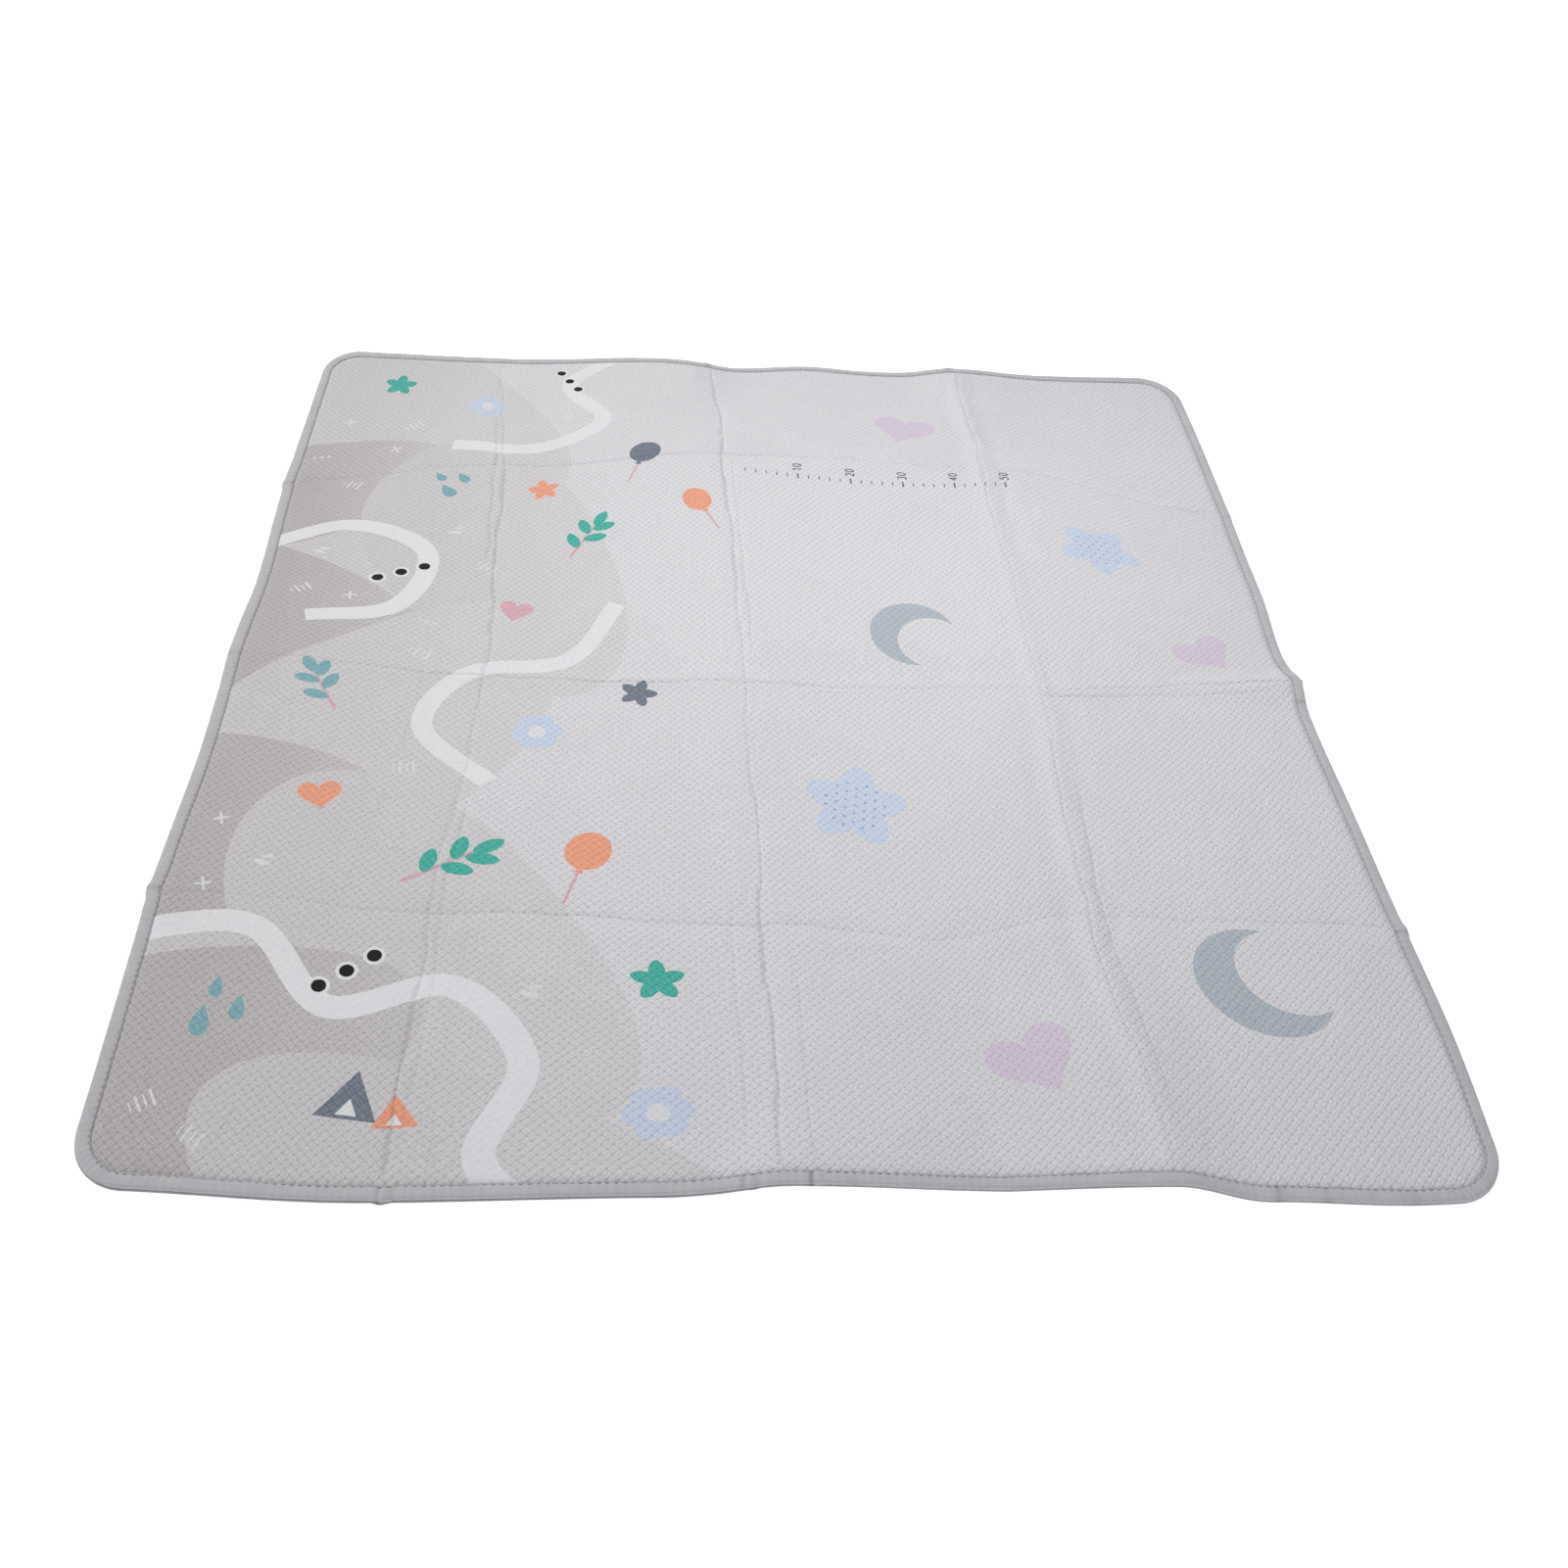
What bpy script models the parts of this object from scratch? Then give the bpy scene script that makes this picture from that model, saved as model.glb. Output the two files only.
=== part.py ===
"""A padded baby play mat with a bound edge, lying on the floor as it was unfolded.

X runs across the mat, Y along it and Z up, in metres. The origin is on the floor, below the
middle of the mat's outer box. Every height and place is first worked out on a flat plan of
the mat, a plain rounded rectangle, and then drawn to where its edges and creases really lie.
"""

from math import cos, exp, hypot, pi, radians, sin

import bmesh
import bpy

# Driving sizes
MAT_WIDTH = 1.800
MAT_LENGTH = 2.000
CORNER_RADIUS = 0.078
PAD_THICKNESS = 0.0095
RIM_THICKNESS = 0.0050
TAPE_WIDTH = 0.020
TAPE_THICKNESS = 0.0012
CLEARANCE = 0.0004

# The pressed fold lines: how deep they dent the top, and how wide the dent is
CREASE_DEPTH = 0.0022
CREASE_REACH = 0.016

# Spacing of the plan's grid lines
CREASE_SHOULDER = 0.026
LINES_IN_A_PANEL = 2
CORNER_STEPS = 5

# Sizes worked out from those above
RIM_INSET = TAPE_THICKNESS + CLEARANCE
COVER_INSET = TAPE_WIDTH + CLEARANCE
SWELL_INSET = TAPE_WIDTH + 0.0030
RIM_BOTTOM = TAPE_THICKNESS + CLEARANCE
RIM_TOP = RIM_BOTTOM + RIM_THICKNESS
TAPE_TOP = RIM_TOP + CLEARANCE + TAPE_THICKNESS

# Lines along the mat: name, x on the plan, and (y, x) where the line really lies
LENGTHWISE_LINES = (
    ("left edge", -0.900, ((-1.00, -0.898), (-0.51, -0.905), (-0.25, -0.898), (0.02, -0.902),
                           (0.22, -0.895), (0.53, -0.901), (1.00, -0.897))),
    ("left crease", -0.500, ((-1.00, -0.518), (-0.60, -0.511), (0.00, -0.481), (0.50, -0.496),
                             (1.00, -0.535))),
    ("middle crease", -0.060, ((-1.00, -0.031), (-0.50, -0.043), (0.10, -0.058), (0.60, -0.079),
                               (1.00, -0.096))),
    ("right crease", 0.440, ((-1.00, 0.462), (-0.54, 0.430), (0.00, 0.440), (0.60, 0.431),
                             (1.00, 0.419))),
    ("right edge", 0.900, ((-1.00, 0.896), (-0.74, 0.905), (-0.40, 0.898), (-0.12, 0.893),
                           (-0.02, 0.902), (0.07, 0.889), (0.30, 0.899), (0.80, 0.905),
                           (1.00, 0.902))),
)

# Lines across the mat: name, y on the plan, and (x, y) where the line really lies
CROSSWISE_LINES = (
    ("near edge", -1.000, ((-0.90, -0.990), (-0.52, -1.010), (-0.20, -1.005), (-0.08, -0.997),
                           (0.20, -1.001), (0.44, -1.002), (0.57, -1.016), (0.75, -1.022),
                           (0.90, -1.017))),
    ("near crease", -0.550, ((-0.90, -0.515), (-0.50, -0.552), (-0.06, -0.570), (0.20, -0.595),
                             (0.44, -0.550), (0.90, -0.565))),
    ("middle crease", -0.030, ((-0.90, 0.005), (-0.40, -0.045), (0.44, -0.050), (0.90, -0.020))),
    ("far crease", 0.580, ((-0.90, 0.520), (-0.50, 0.585), (-0.06, 0.655), (0.44, 0.630),
                           (0.90, 0.490))),
    ("far edge", 1.000, ((-0.90, 1.008), (-0.50, 0.998), (-0.20, 1.004), (-0.03, 0.990),
                         (0.14, 1.001), (0.30, 0.994), (0.43, 1.003), (0.58, 1.001),
                         (0.90, 1.009))),
)

# Where the mat stands off the floor: name, x and y on the plan, how far the swell runs out to
# its left and right, to its near and far side, and its height
SWELLS = (
    ("far edge, left of the middle crease", -0.12, 1.00, 0.36, 0.12, 0.34, 0.10, 0.0110),
    ("far edge, bump before the right crease", 0.13, 1.00, 0.11, 0.12, 0.12, 0.10, 0.0035),
    ("far edge, right crease", 0.44, 1.00, 0.11, 0.20, 0.42, 0.10, 0.0095),
    ("near edge, middle crease", -0.05, -1.00, 0.09, 0.40, 0.10, 0.30, 0.0120),
    ("near edge, right crease", 0.43, -1.00, 0.30, 0.13, 0.10, 0.55, 0.0135),
    ("right crease, middle of the mat", 0.44, 0.10, 0.22, 0.30, 0.60, 0.50, 0.0070),
    ("middle crease, middle of the mat", -0.06, -0.03, 0.16, 0.20, 0.42, 0.42, 0.0040),
    ("right edge, middle crease", 0.90, -0.03, 0.30, 0.10, 0.07, 0.06, 0.0110),
    ("left edge, far crease", -0.90, 0.58, 0.16, 0.10, 0.09, 0.07, 0.0045),
    ("left edge, middle crease", -0.90, -0.03, 0.14, 0.10, 0.08, 0.07, 0.0040),
    ("left edge, near crease", -0.90, -0.55, 0.16, 0.10, 0.09, 0.08, 0.0050),
    ("left crease, far crease", -0.50, 0.58, 0.14, 0.16, 0.12, 0.14, 0.0035),
)

CREASE_COLUMNS = [place for _, place, _ in LENGTHWISE_LINES[1:-1]]
CREASE_ROWS = [place for _, place, _ in CROSSWISE_LINES[1:-1]]


def eased(share):
    """Runs smoothly from 1 at 0 down to 0 at 1 and beyond."""
    return 0.5 + 0.5 * cos(pi * min(share, 1.0))


def read_line(points, at):
    """The place of a real line, read smoothly between its points."""
    for (start, low), (end, high) in zip(points, points[1:]):
        if at <= end:
            share = max(0.0, (at - start) / (end - start))
            return high + (low - high) * eased(share)
    return points[-1][1]


def drawn_between(lines, value, at):
    """A plan coordinate, drawn to lie between the real places of the lines on either side."""
    for (_, low, low_points), (_, high, high_points) in zip(lines, lines[1:]):
        if value <= high or high == lines[-1][1]:
            share = (value - low) / (high - low)
            start = read_line(low_points, at)
            return start + share * (read_line(high_points, at) - start)


def lift(x, y):
    """Height of the underside above the floor at a place on the plan."""
    height = 0.0
    for _, centre_x, centre_y, left, right, near, far, top in SWELLS:
        across = (x - centre_x) / (right if x > centre_x else left)
        along = (y - centre_y) / (far if y > centre_y else near)
        height = max(height, top * eased(hypot(across, along)))
    return height


def crease_dent(x, y):
    """Depth of the pressed fold lines at a place on the plan."""
    nearest = min([abs(x - column) for column in CREASE_COLUMNS]
                  + [abs(y - row) for row in CREASE_ROWS])
    return CREASE_DEPTH * exp(-((nearest / CREASE_REACH) ** 2))


def drawn(x, y, height):
    """A place on the plan, moved to where the cloth really lies."""
    return (
        drawn_between(LENGTHWISE_LINES, x, y),
        drawn_between(CROSSWISE_LINES, y, x),
        height + lift(x, y),
    )


def rounded(x, y):
    """A place in a plain rectangle, moved so that its rims follow the rounded corners."""
    from_side = MAT_WIDTH / 2 - abs(x)
    from_end = MAT_LENGTH / 2 - abs(y)
    rim, run = sorted((from_side, from_end))
    if run >= CORNER_RADIUS:
        return x, y
    turn = radians(45.0) * (CORNER_RADIUS - run) / (CORNER_RADIUS - rim)
    radius = CORNER_RADIUS - rim
    square_to_rim = CORNER_RADIUS - radius * cos(turn)
    beside_rim = CORNER_RADIUS - radius * sin(turn)
    if from_side <= from_end:
        from_side, from_end = square_to_rim, beside_rim
    else:
        from_side, from_end = beside_rim, square_to_rim
    side = 1.0 if x > 0 else -1.0
    end = 1.0 if y > 0 else -1.0
    return side * (MAT_WIDTH / 2 - from_side), end * (MAT_LENGTH / 2 - from_end)


def grid_lines(size, creases):
    """Plan coordinates of the grid's lines from one rim to the other."""
    run = CORNER_RADIUS - SWELL_INSET
    insets = [RIM_INSET, (RIM_INSET + COVER_INSET) / 2, COVER_INSET, SWELL_INSET]
    insets += [SWELL_INSET + run * step / (CORNER_STEPS - 1) for step in range(1, CORNER_STEPS)]
    lines = [inset - size / 2 for inset in insets]
    for crease in creases:
        lines += spread(lines[-1], crease - CREASE_SHOULDER)
        lines += [crease - CREASE_SHOULDER, crease, crease + CREASE_SHOULDER]
    lines += spread(lines[-1], size / 2 - CORNER_RADIUS)
    lines += [size / 2 - inset for inset in reversed(insets)]
    return lines


def spread(start, end):
    """The lines that divide one panel of the mat evenly."""
    gap = (end - start) / (LINES_IN_A_PANEL + 1)
    return [start + gap * step for step in range(1, LINES_IN_A_PANEL + 1)]


def panel_heights(x, y, inset):
    """Underside and top of the panel, above where the mat lies, at an inset from its edge."""
    if inset <= COVER_INSET + CLEARANCE / 4:
        return RIM_BOTTOM, RIM_TOP
    full = PAD_THICKNESS - crease_dent(x, y)
    at_tape = TAPE_TOP + 0.0004
    share = eased((inset - SWELL_INSET) / (CORNER_RADIUS - SWELL_INSET))
    return 0.0, full + (at_tape - full) * share


def edge_stations(columns, rows):
    """The grid's outer places, in order round the mat from the near left corner."""
    near = [(x, rows[0]) for x in columns[:-1]]
    right = [(columns[-1], y) for y in rows[:-1]]
    far = [(x, rows[-1]) for x in reversed(columns[1:])]
    left = [(columns[0], y) for y in reversed(rows[1:])]
    return near + right + far + left


def outward(x, y):
    """The outward direction at a place on the plan's rounded rim."""
    over_x = abs(x) - (MAT_WIDTH / 2 - CORNER_RADIUS)
    over_y = abs(y) - (MAT_LENGTH / 2 - CORNER_RADIUS)
    across, along = max(over_x, 0.0), max(over_y, 0.0)
    length = hypot(across, along)
    return (across if x > 0 else -across) / length, (along if y > 0 else -along) / length


def tape_section():
    """The folded tape's section: (inset from the mat's edge, height), outer side first."""
    inner_bottom = TAPE_THICKNESS
    inner_top = TAPE_TOP - TAPE_THICKNESS
    nose = 0.0026
    return (
        (TAPE_WIDTH, TAPE_TOP),
        (nose, TAPE_TOP),
        (0.0, TAPE_TOP - nose),
        (0.0, nose),
        (nose, 0.0),
        (TAPE_WIDTH, 0.0),
        (TAPE_WIDTH, inner_bottom),
        (TAPE_THICKNESS, inner_bottom),
        (TAPE_THICKNESS, inner_top),
        (TAPE_WIDTH, inner_top),
    )


def add_material(name, colour, roughness):
    material = bpy.data.materials.new(name)
    material.use_nodes = True
    shader = material.node_tree.nodes["Principled BSDF"]
    shader.inputs["Base Color"].default_value = (*colour, 1.0)
    shader.inputs["Roughness"].default_value = roughness
    shader.inputs["Metallic"].default_value = 0.0
    return material


def add_piece(name, bm, material, collection):
    """Turns the edited mesh into an object of the mat."""
    bmesh.ops.recalc_face_normals(bm, faces=bm.faces)
    mesh = bpy.data.meshes.new(name)
    bm.to_mesh(mesh)
    bm.free()
    mesh.materials.append(material)
    mesh.shade_smooth()
    mesh.set_sharp_from_angle(angle=radians(35.0))
    piece = bpy.data.objects.new(name, mesh)
    collection.objects.link(piece)
    return piece


def make_panel(columns, rows, centre):
    """The padded panel: a grid, thickened upwards and drawn to the mat's real shape."""
    bm = bmesh.new()
    bmesh.ops.create_grid(bm, x_segments=len(columns) - 1, y_segments=len(rows) - 1, size=0.5)
    raised = bmesh.ops.extrude_face_region(bm, geom=bm.faces[:])["geom"]
    top = {element for element in raised if isinstance(element, bmesh.types.BMVert)}
    for vertex in bm.verts:
        x = columns[round((vertex.co.x + 0.5) * (len(columns) - 1))]
        y = rows[round((vertex.co.y + 0.5) * (len(rows) - 1))]
        inset = min(MAT_WIDTH / 2 - abs(x), MAT_LENGTH / 2 - abs(y))
        x, y = rounded(x, y)
        underside, upper = panel_heights(x, y, inset)
        place = drawn(x, y, upper if vertex in top else underside)
        vertex.co = (place[0] - centre[0], place[1] - centre[1], place[2])
    return bm


def tape_ring(stations):
    """The tape's real places, one section for each station round the mat."""
    ring = []
    for x, y in stations:
        rim_x, rim_y = rounded(x, y)
        out_x, out_y = outward(rim_x, rim_y)
        section = []
        for inset, height in tape_section():
            step = RIM_INSET - inset
            section.append(drawn(rim_x + out_x * step, rim_y + out_y * step, height))
        ring.append(section)
    return ring


def make_binding(ring, centre):
    """The binding: the tape's sections joined into one closed ring."""
    bm = bmesh.new()
    loops = []
    for section in ring:
        loops.append([bm.verts.new((x - centre[0], y - centre[1], z)) for x, y, z in section])
    for loop, following in zip(loops, loops[1:] + loops[:1]):
        for corner in range(len(loop)):
            after = (corner + 1) % len(loop)
            bm.faces.new((loop[corner], loop[after], following[after], following[corner]))
    return bm


def middle_of(ring):
    """The middle of the mat's outer box, seen from above."""
    across = [x for section in ring for x, _, _ in section]
    along = [y for section in ring for _, y, _ in section]
    return (min(across) + max(across)) / 2, (min(along) + max(along)) / 2


def clear_scene():
    for old in list(bpy.data.objects):
        bpy.data.objects.remove(old, do_unlink=True)


def main():
    clear_scene()
    mat = bpy.data.collections.new("baby_play_mat")
    bpy.context.scene.collection.children.link(mat)
    cover_cloth = add_material("pale grey woven cover", (0.640, 0.640, 0.655), 0.80)
    binding_cloth = add_material("grey binding tape", (0.370, 0.375, 0.390), 0.75)

    columns = grid_lines(MAT_WIDTH, CREASE_COLUMNS)
    rows = grid_lines(MAT_LENGTH, CREASE_ROWS)
    ring = tape_ring(edge_stations(columns, rows))
    centre = middle_of(ring)
    add_piece("mat_panel", make_panel(columns, rows, centre), cover_cloth, mat)
    add_piece("edge_binding", make_binding(ring, centre), binding_cloth, mat)


main()
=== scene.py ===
"""The looks of a padded baby play mat that lies unfolded on a pale floor.

The mat is worked out on a flat plan, a plain rounded rectangle as it is cut and printed, and
then drawn to where its edges and creases really lie. The plan's x and y, in metres, are also
the cloth's UV map, so the weave and the print follow the folds.
"""

import math

import bmesh
import bpy
import numpy as np
from mathutils import Euler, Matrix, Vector
from mathutils.geometry import delaunay_2d_cdt


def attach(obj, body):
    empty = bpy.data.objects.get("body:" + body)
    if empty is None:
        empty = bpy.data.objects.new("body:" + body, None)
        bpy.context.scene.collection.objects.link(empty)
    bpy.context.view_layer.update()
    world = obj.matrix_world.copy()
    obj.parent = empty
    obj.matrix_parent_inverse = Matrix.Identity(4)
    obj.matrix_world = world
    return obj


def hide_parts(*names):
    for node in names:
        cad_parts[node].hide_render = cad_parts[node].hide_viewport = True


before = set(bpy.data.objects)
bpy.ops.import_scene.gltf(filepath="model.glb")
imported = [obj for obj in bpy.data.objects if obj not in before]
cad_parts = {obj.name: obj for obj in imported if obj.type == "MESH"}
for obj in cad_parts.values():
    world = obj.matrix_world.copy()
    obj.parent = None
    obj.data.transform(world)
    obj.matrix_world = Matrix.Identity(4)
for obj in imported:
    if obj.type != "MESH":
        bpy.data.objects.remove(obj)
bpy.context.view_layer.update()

# Sizes of the mat, in metres
MAT_WIDTH = 1.800
MAT_LENGTH = 2.000
CORNER_RADIUS = 0.078
PAD_THICKNESS = 0.0095
TAPE_WIDTH = 0.020
RIM_INSET = 0.0017
RIM_BOTTOM = 0.0016
RIM_TOP = 0.0065

# The embossed weave: blocks of two strands, side by side, turned half a right angle
BLOCK = 0.010
LATTICE = BLOCK / math.sqrt(2.0)
BLOCK_RELIEF = 0.00034

# Beside the tape the cover puffs up by PUFF, settles over SETTLE_REACH to the pad's thickness, and
# is pulled down by PUCKER at each stitch. Its folds reach their full depth over FOLDS_REACH, and
# its weave sets in that many times sooner.
PUFF = 0.0026
PUFF_REACH = 0.0044
SETTLE_REACH = 0.20
PUCKER = 0.0007
PUCKER_REACH = 0.009
FOLDS_REACH = 0.030
WEAVE_ONSET = 3.0

# Insets where the cover leaves the tape's edge, where the backing does, and where the face is open
SEAM_EDGE = TAPE_WIDTH + 0.0002
UNDER_TAPE = TAPE_WIDTH + 0.0004
OPEN_FACE = TAPE_WIDTH + 0.0010

# Spread of the mesh's points: rings beside the tape's edge, how clear of the tape and the fold
# lines the weave's points stay, and the steps of the backing and of the rim
SEAM_RINGS = (0.0, 0.0024, 0.0056)
CLEAR_OF_TAPE = 0.0090
CLEAR_OF_CREASE = 0.0018
BACKING_STEP = 0.034
RIM_STEP = 0.012

# Sewing along the tape's inner edge
STITCH_PITCH = 0.0105
STITCH_LENGTH = 0.0062
STITCH_INSET = TAPE_WIDTH - 0.0024
THREAD_WIDTH = 0.0011
TOP_SEAM_HEIGHT = 0.0078
UNDERSIDE_SEAM_HEIGHT = 0.0006

# Lines along the mat: name, x on the plan, and (y, x) where the line really lies
LENGTHWISE_LINES = (
    ("left edge", -0.900, ((-1.00, -0.898), (-0.51, -0.905), (-0.25, -0.898), (0.02, -0.902),
                           (0.22, -0.895), (0.53, -0.901), (1.00, -0.897))),
    ("left crease", -0.500, ((-1.00, -0.518), (-0.60, -0.511), (0.00, -0.481), (0.50, -0.496),
                             (1.00, -0.535))),
    ("middle crease", -0.060, ((-1.00, -0.031), (-0.50, -0.043), (0.10, -0.058), (0.60, -0.079),
                               (1.00, -0.096))),
    ("right crease", 0.440, ((-1.00, 0.462), (-0.54, 0.430), (0.00, 0.440), (0.60, 0.431),
                             (1.00, 0.419))),
    ("right edge", 0.900, ((-1.00, 0.896), (-0.74, 0.905), (-0.40, 0.898), (-0.12, 0.893),
                           (-0.02, 0.897), (0.07, 0.889), (0.30, 0.899), (0.80, 0.905),
                           (1.00, 0.902))),
)

# Lines across the mat: name, y on the plan, and (x, y) where the line really lies
CROSSWISE_LINES = (
    ("near edge", -1.000, ((-0.90, -0.990), (-0.52, -1.010), (-0.20, -1.005), (-0.08, -0.997),
                           (0.20, -1.001), (0.44, -1.002), (0.57, -1.016), (0.75, -1.022),
                           (0.90, -1.017))),
    ("near crease", -0.550, ((-0.90, -0.515), (-0.50, -0.552), (-0.06, -0.570), (0.20, -0.595),
                             (0.44, -0.550), (0.90, -0.565))),
    ("middle crease", -0.030, ((-0.90, 0.005), (-0.40, -0.045), (0.44, -0.050), (0.90, -0.020))),
    ("far crease", 0.580, ((-0.90, 0.520), (-0.50, 0.585), (-0.06, 0.655), (0.44, 0.630),
                           (0.90, 0.490))),
    ("far edge", 1.000, ((-0.90, 1.008), (-0.50, 0.998), (-0.20, 1.004), (-0.03, 0.990),
                         (0.14, 1.001), (0.30, 0.994), (0.43, 1.003), (0.58, 1.001),
                         (0.90, 1.009))),
)

# Pressed fold lines: name, whether it runs lengthwise, its place on the plan, where it starts and
# ends, the depth of its narrow line, the depth of its wide soft trough, where a negative depth is
# a ridge, and a phase for its wandering
CREASES = (
    ("left crease", True, -0.500, -1.00, 1.00, 0.0015, 0.0007, 0.0),
    ("left crease, second line near", True, -0.484, -0.97, -0.30, 0.0012, 0.0, 0.8),
    ("left crease, second line far", True, -0.516, 0.25, 0.82, 0.0010, 0.0, 2.0),
    ("middle crease", True, -0.060, -1.00, 1.00, 0.0015, 0.0006, 1.7),
    ("middle crease, line to its right", True, -0.019, -1.00, -0.60, 0.0011, 0.0, 1.0),
    ("middle crease, line to its left", True, -0.100, -0.97, -0.48, 0.0011, 0.0, 2.6),
    ("middle crease, second line far", True, -0.044, 0.02, 0.60, 0.0008, 0.0, 0.3),
    ("right crease", True, 0.440, -1.00, 1.00, 0.0007, -0.0021, 3.4),
    ("right crease, second line near", True, 0.466, -0.90, -0.25, 0.0007, 0.0, 1.1),
    ("near crease", False, -0.550, -0.90, 0.90, 0.0009, 0.0008, 0.9),
    ("middle crease across", False, -0.030, -0.90, 0.90, 0.0014, -0.0012, 3.0),
    ("middle crease across, second line", False, -0.052, 0.40, 0.88, 0.0014, 0.0, 4.4),
    ("far crease", False, 0.580, -0.90, 0.90, 0.0012, 0.0007, 5.1),
)

# Half width of a pressed line as seen and as a dent, half width of its trough, how far off the
# trough's shoulder lies and its share of the depth, and over what length a short line fades
CREASE_SIDE = 0.0022
CREASE_DENT = 0.9 * CREASE_SIDE
TROUGH = 0.0170
SHOULDER_AWAY = 0.036
SHOULDER_SHARE = 0.45
CREASE_FADE = 0.09
SHORT_CREASE = 1.2

# Depth of a fold line whose painted shade is at its full darkness
DARK_CREASE = 0.0016

# How a fold line wanders: reach, turns along it, share of its phase
CREASE_WANDER = ((0.0026, 17.0, 1.0), (0.0013, 47.0, 2.3), (0.0006, 118.0, 0.0))

# The pad's slow unevenness: height, then the rates along x and y and the phase of two waves
PAD_WAVES = (
    (0.0007, (9.1, 2.0, 0.4), (0.0, 7.3, -1.1)),
    (0.0005, (16.0, -5.0, 0.0), (4.0, 13.0, 0.8)),
    (0.00018, (61.0, 13.0, 0.0), (-17.0, 53.0, 0.0)),
)

# Where the mat stands off the floor: name, x and y on the plan, how far the swell runs out to
# its left and right, to its near and far side, and its height
SWELLS = (
    ("far edge, left of the middle crease", -0.12, 1.00, 0.36, 0.12, 0.34, 0.10, 0.0110),
    ("far edge, bump before the right crease", 0.13, 1.00, 0.11, 0.12, 0.12, 0.10, 0.0035),
    ("far edge, right crease", 0.44, 1.00, 0.11, 0.20, 0.42, 0.10, 0.0095),
    ("near edge, middle crease", -0.05, -1.00, 0.09, 0.40, 0.10, 0.30, 0.0120),
    ("near edge, right crease", 0.43, -1.00, 0.30, 0.13, 0.10, 0.55, 0.0135),
    ("right crease, middle of the mat", 0.44, 0.10, 0.22, 0.30, 0.60, 0.50, 0.0070),
    ("middle crease, middle of the mat", -0.06, -0.03, 0.16, 0.20, 0.42, 0.42, 0.0040),
    ("right edge, middle crease", 0.90, -0.03, 0.30, 0.10, 0.07, 0.06, 0.0110),
    ("left edge, far crease", -0.90, 0.58, 0.16, 0.10, 0.09, 0.07, 0.0045),
    ("left edge, middle crease", -0.90, -0.03, 0.14, 0.10, 0.08, 0.07, 0.0040),
    ("left edge, near crease", -0.90, -0.55, 0.16, 0.10, 0.09, 0.08, 0.0050),
    ("left crease, far crease", -0.50, 0.58, 0.14, 0.16, 0.12, 0.14, 0.0035),
)

# Where the edge sticks out in a small fold: side, place along it on the plan, how far it stands
# out, how far it reaches on either side, and how much it rises
KINKS = (
    ("near", -0.500, 0.0034, 0.015, 0.0006),
    ("near", -0.095, 0.0014, 0.012, 0.0006),
    ("far", -0.070, 0.0030, 0.018, 0.0010),
    ("far", 0.430, 0.0030, 0.020, 0.0010),
    ("right", -0.030, 0.0024, 0.018, 0.0010),
    ("right", 0.570, 0.0012, 0.030, 0.0006),
    ("right", -0.555, 0.0030, 0.024, 0.0008),
    ("left", -0.550, 0.0034, 0.024, 0.0006),
    ("left", 0.560, 0.0026, 0.022, 0.0006),
)

# How far in from the edge a kink fades out, and how far out a place counts as beside an edge, as
# a share of the mat's size
KINK_FADE = 0.035
BESIDE_EDGE = 0.42

# Narrow folds across the tape: side, place along it, half width and depth
TAPE_FOLDS = (
    ("near", -0.504, 0.0034, 0.0011),
    ("near", -0.490, 0.0040, 0.0007),
    ("near", -0.106, 0.0034, 0.0012),
    ("near", -0.092, 0.0040, 0.0009),
    ("near", -0.0265, 0.0026, 0.0022),
    ("near", 0.575, 0.0070, 0.0008),
    ("near", 0.640, 0.0060, 0.0005),
    ("near", 0.760, 0.0070, 0.0004),
    ("right", -0.075, 0.0040, 0.0012),
    ("right", -0.020, 0.0060, 0.0008),
    ("right", 0.570, 0.0050, 0.0006),
    ("right", -0.560, 0.0050, 0.0009),
    ("far", -0.070, 0.0050, 0.0009),
    ("far", 0.430, 0.0050, 0.0009),
    ("left", -0.550, 0.0050, 0.0009),
    ("left", 0.560, 0.0050, 0.0009),
    ("left", -0.030, 0.0050, 0.0006),
)

# Where one end of the tape laps over the other: side, place, half width, and added thickness
TAPE_LAP = ("near", -0.018, 0.0058, 0.0010)

# The tape's unevenness along its length: height, and the rates and the phase of two waves
TAPE_WAVES = ((0.00022, 233.0, 66.0, 1.0), (0.00035, 31.0, 11.0, 2.0))

# The gathers in the tape at the corners: height and pitch
GATHERS = (0.00030, 0.0094)

# The gap above the tape's lower lip: least depth, its swing, and how much deeper it is along the
# left of the near edge
LIP_GAP = (0.0005, 0.0005, 0.0019)

# A point of the tape's section above the shoulder is on its top. Below that, one above the other
# height and within the inset is on its outer side.
TAPE_SHOULDER = 0.0070
TAPE_SIDE_FROM = 0.0030
TAPE_SIDE_INSET = 0.0015

# How deep the stitches pull the tape down, how far they scallop its sewn edge, and how far that
# edge wanders, with the rate of its wandering
TAPE_DIMPLE = 0.0009
TAPE_SCALLOP = 0.0005
TAPE_EDGE_WANDER = (0.0004, 90.0)

# How much shade is painted on the tape at a stitch, and for each metre of a fold's depth
STITCH_PAINTED_SHADE = 0.12
FOLD_PAINTED_SHADE = 450

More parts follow.
